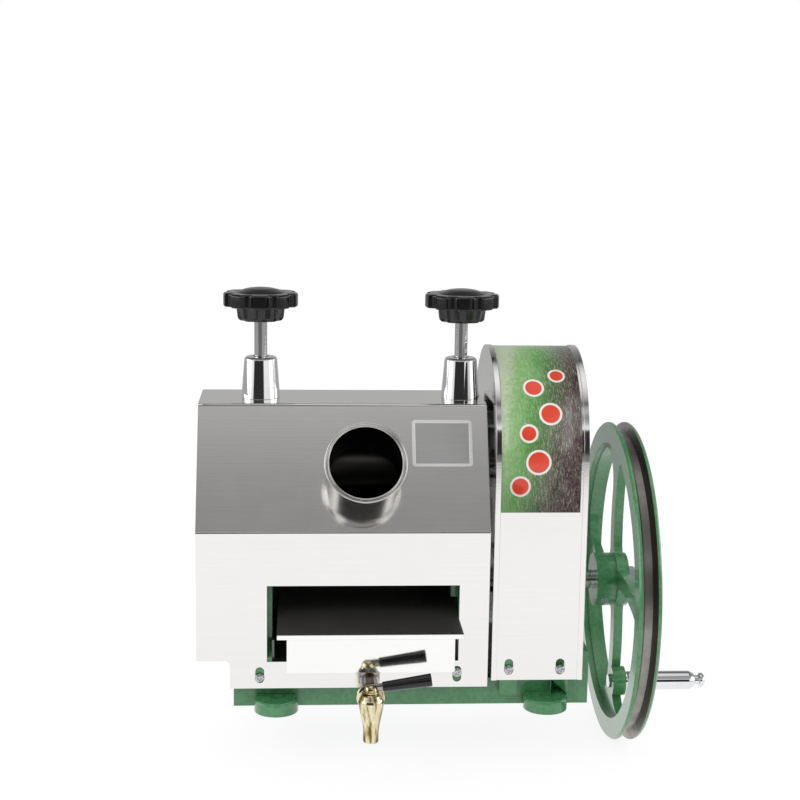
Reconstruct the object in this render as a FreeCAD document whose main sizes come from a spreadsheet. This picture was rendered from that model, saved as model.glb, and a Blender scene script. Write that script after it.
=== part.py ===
import FreeCAD, Part
import math
import os
import Sketcher

Vector = FreeCAD.Vector

# Driving dimensions in millimetres. The origin is the centre of the four base lugs, on their underside.
# X runs along the rollers towards the crank wheel, Y from the feed side to the rear, Z up.
DIMENSIONS = {
    # bent sheet casing over the rollers
    "casing_left": 195, "casing_width": 264, "casing_depth": 186, "casing_bottom": 21,
    "fold_height": 166, "hood_height": 273, "hood_depth": 76, "sheet_gauge": 1.2,
    "notch_width": 30, "notch_height": 47,
    "window_left": 131.5, "window_right": 42, "window_bottom": 46, "window_top": 117,
    "cover_slot_width": 8, "cover_slot_length": 15, "cover_slot_height": 33.5,
    # gear cover beside the casing
    "gear_case_gap": 3.5, "gear_case_width": 84, "gear_case_bottom": 26.4,
    "arch_height": 230, "arch_radius": 92.5, "gear_case_rim": 5,
    "gear_slot_left": 88.7, "gear_slot_right": 135.9, "gear_slot_height": 39,
    # cast base
    "base_left": 162, "base_right": 164, "base_depth": 162, "base_height": 25,
    "deck_thickness": 9, "base_wall": 10, "end_wall_top": 50, "end_wall_thickness": 5.5,
    "lug_spacing_x": 246, "lug_spacing_y": 182, "lug_radius": 20, "lug_height": 12, "lug_hole_radius": 5.5,
    "boss_width": 16, "boss_top": 48, "boss_root": 66,
    # cheeks that hold the rollers
    "left_cheek_x": 139, "right_cheek_x": 48, "cheek_thickness": 24, "cheek_depth": 144,
    "foot_top": 50, "cheek_top": 250, "hood_clearance": 2.8, "block_width": 52,
    "relief_depth": 7, "relief_bottom": 44, "relief_top": 100, "cap_thickness": 12,
    "cap_bolt_spacing": 62, "cap_bolt_radius": 3, "frame_bolt_radius": 5, "frame_bolt_spread": 80,
    "bracket_bolt_spread": 60, "tie_rod_radius": 4, "tie_rod_spread": 80.4, "tie_rod_height": 243.5,
    "lower_rod_height": 124, "hole_clearance": 0.1,
    # rollers
    "roller_radius": 35, "roller_centres": 72, "lower_spread": 86, "lower_axis_height": 151,
    "roller_end_gap": 2, "journal_radius": 15, "bush_wall": 5, "running_clearance": 0.06,
    "lift": 4,
    # gears
    "roller_teeth": 12, "roller_module": 6, "roller_gear_width": 20, "roller_gear_left": 180,
    "main_teeth": 42, "pinion_teeth": 15, "drive_module": 4, "main_gear_left": 84,
    "main_gear_width": 22, "pinion_overhang": 2, "gear_seat_radius": 12, "main_seat_radius": 13,
    "pressure_angle": 25, "addendum_share": 0.8, "dedendum_share": 1.05, "drive_backlash": 0.4,
    "roller_backlash": 2,
    "key_width": 8, "key_depth": 3,
    # drive shaft and its outer bracket
    "drive_radius": 12, "bracket_radius": 10, "wheel_seat_radius": 9, "thread_radius": 8,
    "bracket_left": 134, "bracket_width": 18, "bracket_bush_wall": 4, "bracket_ring": 24,
    "drive_bush_wall": 4, "drive_shaft_left": 44, "drive_shaft_right": 225,
    # crank wheel with a belt groove
    "wheel_radius": 152, "wheel_centre": 204.2, "rim_width": 20.4, "rim_depth": 20,
    "groove_width": 13.5, "groove_depth": 9, "groove_floor": 7, "hub_radius": 25.5,
    "hub_left": 181, "hub_right": 212, "spoke_thickness": 8.5, "spoke_half_width": 8,
    "crank_forward": 20, "crank_drop": 96, "crank_boss_radius": 14,
    "handle_radius": 9, "handle_end": 290, "spindle_radius": 5,
    # pressure screws and knobs
    "screw_radius": 6, "cone_height": 38, "cone_base_radius": 18, "cone_top_radius": 15,
    "knob_rise": 31, "knob_hub_height": 14, "knob_rim_height": 15.5, "knob_crown": 5.5,
    "knob_hub_radius": 22, "knob_radius": 34.5, "knob_lobes": 9,
    # feed tube and label plate on the sloping front
    "tube_x": 45, "tube_up_slope": 51, "tube_radius": 33.5, "tube_wall": 1.5, "tube_length": 54,
    "tube_inside": 9, "tube_lip": 3, "label_x": 27, "label_width": 55, "label_height": 44,
    "label_up_slope": 83, "label_thickness": 0.8,
    # juice drawer, strainer tray and tap
    "drawer_left": 113.5, "drawer_right": 35.5, "drawer_reach": 33, "drawer_back": 58,
    "drawer_bottom": 47, "drawer_top": 86, "runner_gap": 0.3, "runner_reach": 6.5, "runner_gauge": 2,
    "tray_left": 122, "tray_right": 41.4, "tray_reach": 50, "tray_back": 60, "tray_gap": 0.3,
    "tap_x": 40, "tap_reach": 64, "drain_reach": 17, "pipe_height": 36, "pipe_radius": 9.8, "pipe_bore": 6.5,
    "washer_radius": 10.3, "washer_thickness": 2.4,
    "tap_bottom": -5, "tap_middle": 32, "tap_top": 40, "plug_radius": 5,
    "lever_height": 44, "lever_rise": 8, "sleeve_length": 43,
    # chute that carries the pressed cane out at the rear
    "chute_left": 119, "chute_right": 27, "chute_reach": 89, "chute_drop": 140, "chute_inside": 22,
    "chute_start": 179, "chute_wall": 30,
}

doc = FreeCAD.newDocument("hand_cranked_cane_press")
dims = doc.addObject("Spreadsheet::Sheet", "dims")
for row, (alias, size) in enumerate(DIMENSIONS.items(), start=1):
    dims.set("A%d" % row, alias.replace("_", " "))
    dims.set("B%d" % row, str(size))
    dims.setAlias("B%d" % row, alias)
doc.recompute()


def d(alias):
    """The sheet cell with this name, as it is written in an expression."""
    return "dims." + alias


def amount(expression):
    """The number that an expression gives now."""
    found = dims.evalExpression(str(expression))
    return float(getattr(found, "Value", found))


# Places and sizes that follow from the driving dimensions, as expressions.
CASING_LEFT = "-dims.casing_left"
CASING_RIGHT = "(dims.casing_width - dims.casing_left)"
FACE = "(dims.casing_depth / 2)"
INNER_FACE = "(dims.casing_depth / 2 - dims.sheet_gauge)"
HOOD_EDGE = "(dims.hood_depth / 2)"
SLOPE_RUN = "(dims.casing_depth / 2 - dims.hood_depth / 2)"
SLOPE_RISE = "(dims.hood_height - dims.fold_height)"
SLOPE_LENGTH = "sqrt(%s^2 + %s^2)" % (SLOPE_RUN, SLOPE_RISE)
SLOPE_LEAN = "atan(%s / %s)" % (SLOPE_RUN, SLOPE_RISE)
FOLD_SHIFT = "(dims.sheet_gauge * tan(%s / 2))" % SLOPE_LEAN
TOP_SHIFT = "(dims.sheet_gauge * tan(atan(%s / %s) / 2))" % (SLOPE_RISE, SLOPE_RUN)
LEFT_CHEEK = "-dims.left_cheek_x"
RIGHT_CHEEK = "dims.right_cheek_x"
LEFT_INNER = "(dims.cheek_thickness / 2 - dims.left_cheek_x)"
RIGHT_INNER = "(dims.right_cheek_x - dims.cheek_thickness / 2)"
LEFT_OUTER = "(-dims.left_cheek_x - dims.cheek_thickness / 2)"
RIGHT_OUTER = "(dims.right_cheek_x + dims.cheek_thickness / 2)"
LOWER_Y = "(dims.lower_spread / 2)"
TOP_AXIS = "(dims.lower_axis_height + sqrt(dims.roller_centres^2 - (dims.lower_spread / 2)^2))"
DRIVE_AXIS = "(%s - dims.drive_module * (dims.main_teeth + dims.pinion_teeth) / 2)" % TOP_AXIS
BUSH_RADIUS = "(dims.journal_radius + dims.bush_wall)"
BLOCK_BOTTOM = "(%s - dims.block_width / 2)" % TOP_AXIS
BLOCK_TOP = "(%s + dims.block_width / 2)" % TOP_AXIS
CASE_LEFT = "(%s + dims.gear_case_gap)" % CASING_RIGHT
CASE_RIGHT = "(%s + dims.gear_case_width)" % CASE_LEFT
BAND_RADIUS = "(dims.arch_radius - dims.sheet_gauge)"
BAND_INNER = "(dims.arch_radius - 2 * dims.sheet_gauge)"
RELIEF_FACE = "(%s + dims.relief_depth)" % RIGHT_INNER
CAP_TOP = "(dims.cheek_top + dims.cap_thickness)"
CONE_TOP = "(dims.hood_height + dims.cone_height)"
KNOB_BOTTOM = "(%s + dims.knob_rise)" % CONE_TOP
KNOB_RIM_BOTTOM = "(%s + dims.knob_hub_height)" % KNOB_BOTTOM
KNOB_RIM_TOP = "(%s + dims.knob_rim_height)" % KNOB_RIM_BOTTOM
KNOB_TOP = "(%s + dims.knob_crown)" % KNOB_RIM_TOP
TUBE_LIP = "(dims.tube_radius + dims.tube_lip)"
DRAWER_FRONT = "(%s + dims.drawer_reach)" % FACE
TRAY_FRONT = "(%s + dims.tray_reach)" % FACE
TAP_Y = "(%s + dims.tap_reach)" % FACE
DRAIN_Y = "(%s + dims.drain_reach)" % FACE
CHUTE_INNER = "(%s - dims.chute_inside)" % FACE
CHUTE_END = "(%s + dims.chute_reach)" % FACE
TAP_BACK = "(11.5 - %s)" % TAP_Y
CRANK_Z = "(%s - dims.crank_drop)" % DRIVE_AXIS
GEAR_RIGHT = "(dims.main_gear_left + dims.main_gear_width)"
DRAWER_WALL = d("sheet_gauge")

TURNS = {
    "x": FreeCAD.Rotation(Vector(0, 1, 0), 90),
    "y": FreeCAD.Rotation(Vector(1, 0, 0), -90),
    "z": FreeCAD.Rotation(),
}
sub_parts = {}


def bind(thing, size, expression):
    """Tie one size of an object to an expression on the sheet."""
    thing.setExpression(size, str(expression))


def place(thing, x=0, y=0, z=0):
    """Tie an object's place to the sheet."""
    for letter, expression in (("x", x), ("y", y), ("z", z)):
        bind(thing, "Placement.Base." + letter, expression)
    return thing


def minus(expression):
    return "-(%s)" % expression


def box(name, x, y, z):
    """A block between two limits on each axis."""
    block = doc.addObject("Part::Box", name)
    for size, (low, high) in (("Length", x), ("Width", y), ("Height", z)):
        bind(block, size, "(%s) - (%s)" % (high, low))
    return place(block, x[0], y[0], z[0])


def rod(name, axis, start, end, radius, x=0, y=0, z=0):
    """A round bar along one axis from start to end."""
    bar = doc.addObject("Part::Cylinder", name)
    bar.Placement = FreeCAD.Placement(Vector(), TURNS[axis])
    bind(bar, "Radius", radius)
    bind(bar, "Height", "(%s) - (%s)" % (end, start))
    where = {"x": x, "y": y, "z": z}
    where[axis] = start
    return place(bar, **where)


def hexagon(name, axis, start, end, half_flats, x=0, y=0, z=0):
    """A hexagonal bar along one axis, for nuts and bolt heads."""
    bar = doc.addObject("Part::Prism", name)
    bar.Polygon = 6
    bar.Placement = FreeCAD.Placement(Vector(), TURNS[axis])
    bind(bar, "Circumradius", "(%s) / cos(30)" % half_flats)
    bind(bar, "Height", "(%s) - (%s)" % (end, start))
    where = {"x": x, "y": y, "z": z}
    where[axis] = start
    return place(bar, **where)


def join(name, *pieces):
    """One solid from overlapping or touching solids."""
    whole = doc.addObject("Part::MultiFuse", name)
    whole.Shapes = list(pieces)
    return whole


def group(name, *pieces):
    """Identical separate solids under one name."""
    several = doc.addObject("Part::Compound", name)
    several.Links = list(pieces)
    return several


def cut(name, base, *tools):
    """Take one or more tools out of a base."""
    done = doc.addObject("Part::Cut", name)
    done.Base = base
    done.Tool = tools[0] if len(tools) == 1 else join(name + "_tools", *tools)
    return done


def sub_part(name, thing):
    """Register a finished sub-part under the name that its file has."""
    sub_parts[name] = thing
    return thing


def origin_part(body, role):
    """One of a body's own origin planes or axes."""
    return [piece for piece in body.Origin.OriginFeatures if piece.Role == role][0]


def attached_sketch(body, name, plane):
    sketch = body.newObject("Sketcher::SketchObject", name)
    sketch.AttachmentSupport = [(origin_part(body, plane), "")]
    sketch.MapMode = "FlatFace"
    return sketch


def outline(body, name, plane, corners):
    """A closed sketch of straight sides whose corners are tied to the sheet."""
    sketch = attached_sketch(body, name, plane)
    spots = [Vector(amount(across), amount(up), 0) for across, up in corners]
    count = len(spots)
    for index in range(count):
        sketch.addGeometry(Part.LineSegment(spots[index], spots[(index + 1) % count]), False)
    for index in range(count):
        sketch.addConstraint(Sketcher.Constraint("Coincident", index, 2, (index + 1) % count, 1))
    for index, (across, up) in enumerate(corners):
        for kind, expression in (("DistanceX", across), ("DistanceY", up)):
            rule = Sketcher.Constraint(kind, -1, 1, index, 1, amount(expression))
            number = sketch.addConstraint(rule)
            bind(sketch, "Constraints[%d]" % number, expression)
    return sketch


def prism(name, corners, start, end):
    """A body whose side view, in Y and Z, is padded along X."""
    body = doc.addObject("PartDesign::Body", name)
    pad = body.newObject("PartDesign::Pad", name + "_pad")
    pad.Profile = outline(body, name + "_outline", "YZ_Plane", corners)
    bind(pad, "Length", "(%s) - (%s)" % (end, start))
    return place(body, x=start)


def turned(name, axis, corners, x=0, y=0, z=0):
    """A body turned about the X or Z axis; each corner is (along the axis, radius)."""
    body = doc.addObject("PartDesign::Body", name)
    turn = body.newObject("PartDesign::Revolution", name + "_turn")
    if axis == "x":
        sketch = outline(body, name + "_outline", "XY_Plane", corners)
        turn.ReferenceAxis = (sketch, ["H_Axis"])
    else:
        sketch = outline(body, name + "_outline", "XZ_Plane", [(radius, along) for along, radius in corners])
        turn.ReferenceAxis = (sketch, ["V_Axis"])
    turn.Profile = sketch
    turn.Angle = 360
    return place(body, x, y, z)


def mirrored_corners(front):
    """A symmetric side view from the corners of its front half, listed from the bottom up."""
    return [(minus(y), z) for y, z in front] + [(y, z) for y, z in reversed(front)]


def slope_frame(up_slope, outward):
    """Y and Z of a point on the front slope, as expressions."""
    y = "(%s * %s / %s - %s - (%s) * %s / %s)" % (
        up_slope, SLOPE_RUN, SLOPE_LENGTH, FACE, outward, SLOPE_RISE, SLOPE_LENGTH)
    z = "(dims.fold_height + %s * %s / %s + (%s) * %s / %s)" % (
        up_slope, SLOPE_RISE, SLOPE_LENGTH, outward, SLOPE_RUN, SLOPE_LENGTH)
    return y, z


def slot_cutter(name, x, z, depth_from, depth_to):
    """An upright slot with round ends, cut along Y."""
    half = "(dims.cover_slot_width / 2)"
    low = "(%s - dims.cover_slot_length / 2 + %s)" % (z, half)
    high = "(%s + dims.cover_slot_length / 2 - %s)" % (z, half)
    middle = box(name + "_middle", ("%s - %s" % (x, half), "%s + %s" % (x, half)),
                 (depth_from, depth_to), (low, high))
    ends = [rod(name + "_end%d" % index, "y", depth_from, depth_to, half, x=x, z=spot)
            for index, spot in enumerate((low, high))]
    return join(name, middle, *ends)


# Base casting with four lugs

def base_casting():
    half_depth = "(dims.base_depth / 2)"
    block = box("base_block", (minus(d("base_left")), d("base_right")),
                (minus(half_depth), half_depth), (0, d("base_height")))
    pieces = [block]
    holes = []
    for side_x in (-1, 1):
        for side_y in (-1, 1):
            tag = "%s%s" % ("l" if side_x < 0 else "r", "f" if side_y < 0 else "b")
            x = "%d * dims.lug_spacing_x / 2" % side_x
            y = "%d * dims.lug_spacing_y / 2" % side_y
            pieces.append(rod("lug_" + tag, "z", 0, d("lug_height"), d("lug_radius"), x=x, y=y))
            holes.append(rod("lug_hole_" + tag, "z", -1, "dims.base_height + 1", d("lug_hole_radius"), x=x, y=y))
    pieces.append(box("end_wall", ("dims.base_right - dims.end_wall_thickness", d("base_right")),
                      (minus(half_depth), half_depth), (0, d("end_wall_top"))))
    for index, x in enumerate((d("gear_slot_left"), d("gear_slot_right"))):
        for side, (low, high) in (("f", (minus(BAND_INNER), minus(d("boss_root")))),
                                  ("b", (d("boss_root"), BAND_INNER))):
            sides = ("%s - dims.boss_width / 2" % x, "%s + dims.boss_width / 2" % x)
            pieces.append(box("boss_%s%d" % (side, index), sides, (low, high), (12, d("boss_top"))))
            holes.append(rod("boss_hole_%s%d" % (side, index), "y",
                             "-%s - 1" % BAND_INNER if side == "f" else "%s - 10" % BAND_INNER,
                             "10 - %s" % BAND_INNER if side == "f" else "%s + 1" % BAND_INNER,
                             2.5, x=x, z="dims.gear_slot_height - 2.5"))
    recess = box("base_recess", ("dims.base_wall - dims.base_left", "dims.base_right - dims.base_wall"),
                 ("dims.base_wall - %s" % half_depth, "%s - dims.base_wall" % half_depth),
                 (-1, "dims.base_height - dims.deck_thickness"))
    for tag, x, y in frame_bolt_places():
        holes.append(rod("deck_hole_" + tag, "z", 0, "dims.base_height + 1",
                         "dims.frame_bolt_radius + dims.hole_clearance", x=x, y=y))
    sub_part("base_casting", cut("base_casting", join("base_solid", *pieces), recess, *holes))


def frame_bolt_places():
    """The six bolts from under the deck: two to each cheek and two to the outer bracket."""
    places = []
    for tag, x, spread in (("left", LEFT_CHEEK, "dims.frame_bolt_spread"),
                           ("right", RIGHT_CHEEK, "dims.frame_bolt_spread"),
                           ("bracket", "(dims.bracket_left + dims.bracket_width / 2)", "dims.bracket_bolt_spread")):
        for side, sign in (("f", "-"), ("b", "")):
            places.append((tag + "_" + side, x, "%s%s / 2" % (sign, spread)))
    return places


def frame_bolts():
    under_deck = "(dims.base_height - dims.deck_thickness)"
    bolts = []
    for tag, x, y in frame_bolt_places():
        length = 10 if "bracket" in tag else 20
        shank = rod("bolt_shank_" + tag, "z", under_deck, "dims.base_height + %d" % length,
                    d("frame_bolt_radius"), x=x, y=y)
        head = hexagon("bolt_head_" + tag, "z", "%s - 7" % under_deck, under_deck, 8.5, x=x, y=y)
        bolts.append(join("frame_bolt_" + tag, shank, head))
    sub_part("frame_bolts", group("frame_bolts", *bolts))


# Cheeks, bearing caps, tie rods and the plate between the rollers

def slope_inside(z):
    """How far forward the cheeks may reach at a height under the slope."""
    return "(%s - (%s - dims.fold_height) * %s / %s - dims.hood_clearance)" % (FACE, z, SLOPE_RUN, SLOPE_RISE)


def rod_places():
    """The three tie rods: two above the rollers and one through the turner plate."""
    return (("front", "-dims.tie_rod_spread / 2", d("tie_rod_height")),
            ("rear", "dims.tie_rod_spread / 2", d("tie_rod_height")),
            ("lower", "0", d("lower_rod_height")))


def cheek(name, x, inner_relief):
    side = "(dims.cheek_depth / 2)"
    shoulder = "(dims.fold_height + (%s - dims.hood_clearance - %s) * %s / %s)" % (FACE, side, SLOPE_RISE, SLOPE_RUN)
    front = [(INNER_FACE, d("base_height")), (INNER_FACE, d("foot_top")), (side, "dims.foot_top + 12"),
             (side, shoulder), (slope_inside(d("cheek_top")), d("cheek_top"))]
    low, high = "%s - dims.cheek_thickness / 2" % x, "%s + dims.cheek_thickness / 2" % x
    web = prism(name + "_web", mirrored_corners(front), low, high)
    through = ("%s - 1" % low, "%s + 1" % high)
    half_block = "(dims.block_width / 2)"
    tools = [box(name + "_slot", through, (minus(half_block), half_block), (BLOCK_BOTTOM, "dims.cheek_top + 1"))]
    for side_name, y in (("front", minus(LOWER_Y)), ("rear", LOWER_Y)):
        tools.append(rod(name + "_bore_" + side_name, "x", through[0], through[1], BUSH_RADIUS,
                         y=y, z=d("lower_axis_height")))
        sign = "-" if side_name == "front" else ""
        tools.append(rod(name + "_foot_hole_" + side_name, "z", "dims.base_height - 1", "dims.base_height + 22",
                         "dims.frame_bolt_radius + dims.hole_clearance", x=x, y="%sdims.frame_bolt_spread / 2" % sign))
        tools.append(rod(name + "_cap_hole_" + side_name, "z", "dims.cheek_top - 20", "dims.cheek_top + 1",
                         d("cap_bolt_radius"), x=x, y="%sdims.cap_bolt_spacing / 2" % sign))
    for tag, y, z in rod_places():
        tools.append(rod(name + "_rod_hole_" + tag, "x", through[0], through[1],
                         "dims.tie_rod_radius + dims.hole_clearance", y=y, z=z))
    for tag, screw_x, screw_z in cover_screw_places():
        if tag.startswith(name.split("_")[0]):
            for side_name, start, end in (("front", "-%s - 1" % FACE, "12 - %s" % FACE),
                                          ("rear", "%s - 12" % FACE, "%s + 1" % FACE)):
                tools.append(rod(name + "_screw_hole_" + side_name, "y", start, end, 2.5, x=screw_x, z=screw_z))
    if inner_relief:
        tools.append(box(name + "_relief", ("%s - 1" % low, RELIEF_FACE), (minus(FACE), FACE),
                         (d("relief_bottom"), d("relief_top"))))
        tools.append(rod(name + "_drive_bore", "x", through[0], through[1],
                         "dims.drive_radius + dims.drive_bush_wall", z=DRIVE_AXIS))
    sub_part(name, cut(name, web, *tools))


def cover_screw_places():
    """The screws that hold the casing to the feet of the cheeks."""
    return (("left", "(dims.cheek_thickness / 2 - dims.left_cheek_x - 11)", "(dims.cover_slot_height - 2.5)"),
            ("right", "(%s + 5)" % RIGHT_INNER, "(dims.cover_slot_height + 1.5)"))


def cheek_caps():
    caps = []
    bolts = []
    half = "(dims.cheek_thickness / 2)"
    for tag, x in (("left", LEFT_CHEEK), ("right", RIGHT_CHEEK)):
        block = box("cap_block_" + tag, ("%s - %s" % (x, half), "%s + %s" % (x, half)), (-39, 39),
                    (d("cheek_top"), CAP_TOP))
        thread = rod("cap_thread_" + tag, "z", "dims.cheek_top - 1", "%s + 1" % CAP_TOP,
                     "dims.screw_radius + dims.running_clearance", x=x)
        holes = []
        for side, sign in (("f", "-"), ("b", "")):
            y = "%sdims.cap_bolt_spacing / 2" % sign
            holes.append(rod("cap_hole_%s_%s" % (tag, side), "z", "dims.cheek_top - 1", "%s + 1" % CAP_TOP,
                             "dims.cap_bolt_radius + dims.hole_clearance", x=x, y=y))
            shank = rod("cap_shank_%s_%s" % (tag, side), "z", "dims.cheek_top - 18", CAP_TOP,
                        d("cap_bolt_radius"), x=x, y=y)
            head = rod("cap_head_%s_%s" % (tag, side), "z", CAP_TOP, "%s + 6" % CAP_TOP, 5, x=x, y=y)
            socket = hexagon("cap_socket_%s_%s" % (tag, side), "z", "%s + 3" % CAP_TOP, "%s + 7" % CAP_TOP,
                             2.5, x=x, y=y)
            bolts.append(cut("cap_bolt_%s_%s" % (tag, side), join("cap_screw_%s_%s" % (tag, side), shank, head), socket))
        caps.append(cut("cap_" + tag, block, thread, *holes))
    sub_part("cheek_caps", group("cheek_caps", *caps))
    sub_part("cap_bolts", group("cap_bolts", *bolts))


def tie_rods():
    rods = []
    nuts = []
    for tag, y, z in rod_places():
        rods.append(rod("tie_rod_" + tag, "x", "%s - 7.5" % LEFT_OUTER, "%s + 7.5" % RIGHT_OUTER,
                        d("tie_rod_radius"), y=y, z=z))
        for side, start, end in (("left", "%s - 6.5" % LEFT_OUTER, LEFT_OUTER),
                                 ("right", RIGHT_OUTER, "%s + 6.5" % RIGHT_OUTER)):
            nut = hexagon("rod_nut_%s_%s" % (tag, side), "x", start, end, 6.5, y=y, z=z)
            hole = rod("nut_hole_%s_%s" % (tag, side), "x", "%s - 1" % start, "%s + 1" % end,
                       d("tie_rod_radius"), y=y, z=z)
            nuts.append(cut("tie_rod_nut_%s_%s" % (tag, side), nut, hole))
    sub_part("tie_rods", group("tie_rods", *rods))
    sub_part("tie_rod_nuts", group("tie_rod_nuts", *nuts))


def turner_plate():
    """A T-shaped bar whose hollow top carries the crushed cane under the top roller."""
    head = 11
    stem = 5
    foot = 9
    crown = "(%s - dims.roller_radius - 4)" % TOP_AXIS
    bar = prism("turner_bar", [
        (-foot, "dims.lower_rod_height - 7"), (foot, "dims.lower_rod_height - 7"),
        (foot, "dims.lower_rod_height + 6"), (stem, "dims.lower_rod_height + 12"),
        (stem, "%s - 12" % crown), (head, "%s - 1" % crown), (head, crown), (-head, crown),
        (-head, "%s - 1" % crown), (-stem, "%s - 12" % crown),
        (-stem, "dims.lower_rod_height + 12"), (-foot, "dims.lower_rod_height + 6")], LEFT_INNER, RIGHT_INNER)
    hollow = rod("turner_hollow", "x", "%s - 1" % LEFT_INNER, "%s + 1" % RIGHT_INNER,
                 "dims.roller_radius + 6", z=TOP_AXIS)
    hole = rod("turner_rod_hole", "x", "%s - 1" % LEFT_INNER, "%s + 1" % RIGHT_INNER,
               "dims.tie_rod_radius + dims.hole_clearance", z=d("lower_rod_height"))
    sub_part("turner_plate", cut("turner_plate", bar, hollow, hole))


def ring(name, start, end, outer, inner, y=0, z=0):
    """A plain bush along X."""
    sleeve = rod(name + "_sleeve", "x", start, end, outer, y=y, z=z)
    bore = rod(name + "_bore", "x", "%s - 1" % start, "%s + 1" % end, inner, y=y, z=z)
    return cut(name, sleeve, bore)


def bushes():
    bore = "(dims.journal_radius + dims.running_clearance)"
    lower = []
    for tag, start, end in (("left", LEFT_OUTER, LEFT_INNER), ("right", RIGHT_INNER, RIGHT_OUTER)):
        for side, y in (("front", minus(LOWER_Y)), ("rear", LOWER_Y)):
            lower.append(ring("lower_bush_%s_%s" % (tag, side), start, end, BUSH_RADIUS, bore,
                              y=y, z=d("lower_axis_height")))
    sub_part("lower_roller_bushes", group("lower_roller_bushes", *lower))
    top = [ring("top_bush_" + tag, start, end, BUSH_RADIUS, bore, z=TOP_AXIS)
           for tag, start, end in (("left", LEFT_OUTER, LEFT_INNER), ("right", RIGHT_INNER, RIGHT_OUTER))]
    sub_part("top_roller_bushes", group("top_roller_bushes", *top))
    drive = [ring("drive_bush_inner", RELIEF_FACE, RIGHT_OUTER, "dims.drive_radius + dims.drive_bush_wall",
                  "dims.drive_radius + dims.running_clearance", z=DRIVE_AXIS),
             ring("drive_bush_outer", d("bracket_left"), "(dims.bracket_left + dims.bracket_width)",
                  "dims.bracket_radius + dims.bracket_bush_wall",
                  "dims.bracket_radius + dims.running_clearance", z=DRIVE_AXIS)]
    sub_part("drive_shaft_bushes", group("drive_shaft_bushes", *drive))


def bearing_blocks():
    """The blocks that slide in the cheeks and carry the top roller."""
    half = "(dims.block_width / 2 - dims.running_clearance)"
    blocks = []
    for tag, start, end in (("left", LEFT_OUTER, LEFT_INNER), ("right", RIGHT_INNER, RIGHT_OUTER)):
        block = box("block_" + tag, (start, end), (minus(half), half), (BLOCK_BOTTOM, BLOCK_TOP))
        bore = rod("block_bore_" + tag, "x", "%s - 1" % start, "%s + 1" % end, BUSH_RADIUS, z=TOP_AXIS)
        blocks.append(cut("bearing_block_" + tag, block, bore))
    sub_part("bearing_blocks", group("bearing_blocks", *blocks))


def outer_bracket():
    """The pedestal inside the gear cover that carries the wheel end of the drive shaft."""
    right = "(dims.bracket_left + dims.bracket_width)"
    foot = box("bracket_foot", (d("bracket_left"), right), (-45, 45), (d("base_height"), "dims.base_height + 12"))
    post = prism("bracket_post", [(-32, "dims.base_height + 12"), (32, "dims.base_height + 12"),
                                  ("dims.bracket_ring * 0.9", DRIVE_AXIS), ("-dims.bracket_ring * 0.9", DRIVE_AXIS)],
                 d("bracket_left"), right)
    boss = rod("bracket_boss", "x", d("bracket_left"), right, d("bracket_ring"), z=DRIVE_AXIS)
    tools = [rod("bracket_bore", "x", "dims.bracket_left - 1", "%s + 1" % right,
                 "dims.bracket_radius + dims.bracket_bush_wall", z=DRIVE_AXIS)]
    for side, sign in (("f", "-"), ("b", "")):
        tools.append(rod("bracket_hole_" + side, "z", "dims.base_height - 1", "dims.base_height + 11",
                         "dims.frame_bolt_radius + dims.hole_clearance",
                         x="dims.bracket_left + dims.bracket_width / 2", y="%sdims.bracket_bolt_spread / 2" % sign))
    sub_part("outer_bracket", cut("outer_bracket", join("bracket_solid", foot, post, boss), *tools))


# Bent sheet casing

def notch_cutter(name, low, high):
    """The lower left corner that is cut away from the casing sheets."""
    return box(name, ("%s - 1" % CASING_LEFT, "%s + dims.notch_width" % CASING_LEFT), (low, high),
               ("dims.casing_bottom - 1", d("notch_height")))


def front_cover():
    gauge = d("sheet_gauge")
    sheet = prism("front_sheet", [
        (minus(FACE), d("casing_bottom")), (minus(FACE), d("fold_height")), (minus(HOOD_EDGE), d("hood_height")),
        (HOOD_EDGE, d("hood_height")), (HOOD_EDGE, "dims.hood_height - %s" % gauge),
        ("%s - %s" % (TOP_SHIFT, HOOD_EDGE), "dims.hood_height - %s" % gauge),
        (minus(INNER_FACE), "dims.fold_height - %s" % FOLD_SHIFT), (minus(INNER_FACE), d("casing_bottom"))],
        CASING_LEFT, CASING_RIGHT)
    near, far = "-%s - 5" % FACE, "5 - %s" % FACE
    window = box("window_cutter", ("-dims.window_left", d("window_right")), (near, far),
                 (d("window_bottom"), d("window_top")))
    tube_y, tube_z = slope_frame(d("tube_up_slope"), -10)
    tube_hole = doc.addObject("Part::Cylinder", "tube_hole")
    tube_hole.Placement = FreeCAD.Placement(Vector(), FreeCAD.Rotation(Vector(1, 0, 0), slope_tilt()))
    bind(tube_hole, "Radius", d("tube_radius"))
    bind(tube_hole, "Height", 20)
    place(tube_hole, minus(d("tube_x")), tube_y, tube_z)
    tools = [window, tube_hole, notch_cutter("front_notch", near, far)]
    for tag, x, z in cover_screw_places():
        tools.append(slot_cutter("front_slot_" + tag, x, d("cover_slot_height"), near, far))
        cheek_x = LEFT_CHEEK if tag == "left" else RIGHT_CHEEK
        tools.append(rod("screw_hole_" + tag, "z", "dims.hood_height - 5", "dims.hood_height + 5",
                         "dims.screw_radius + 1", x=cheek_x))
    sub_part("front_cover", cut("front_cover", sheet, *tools))


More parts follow.
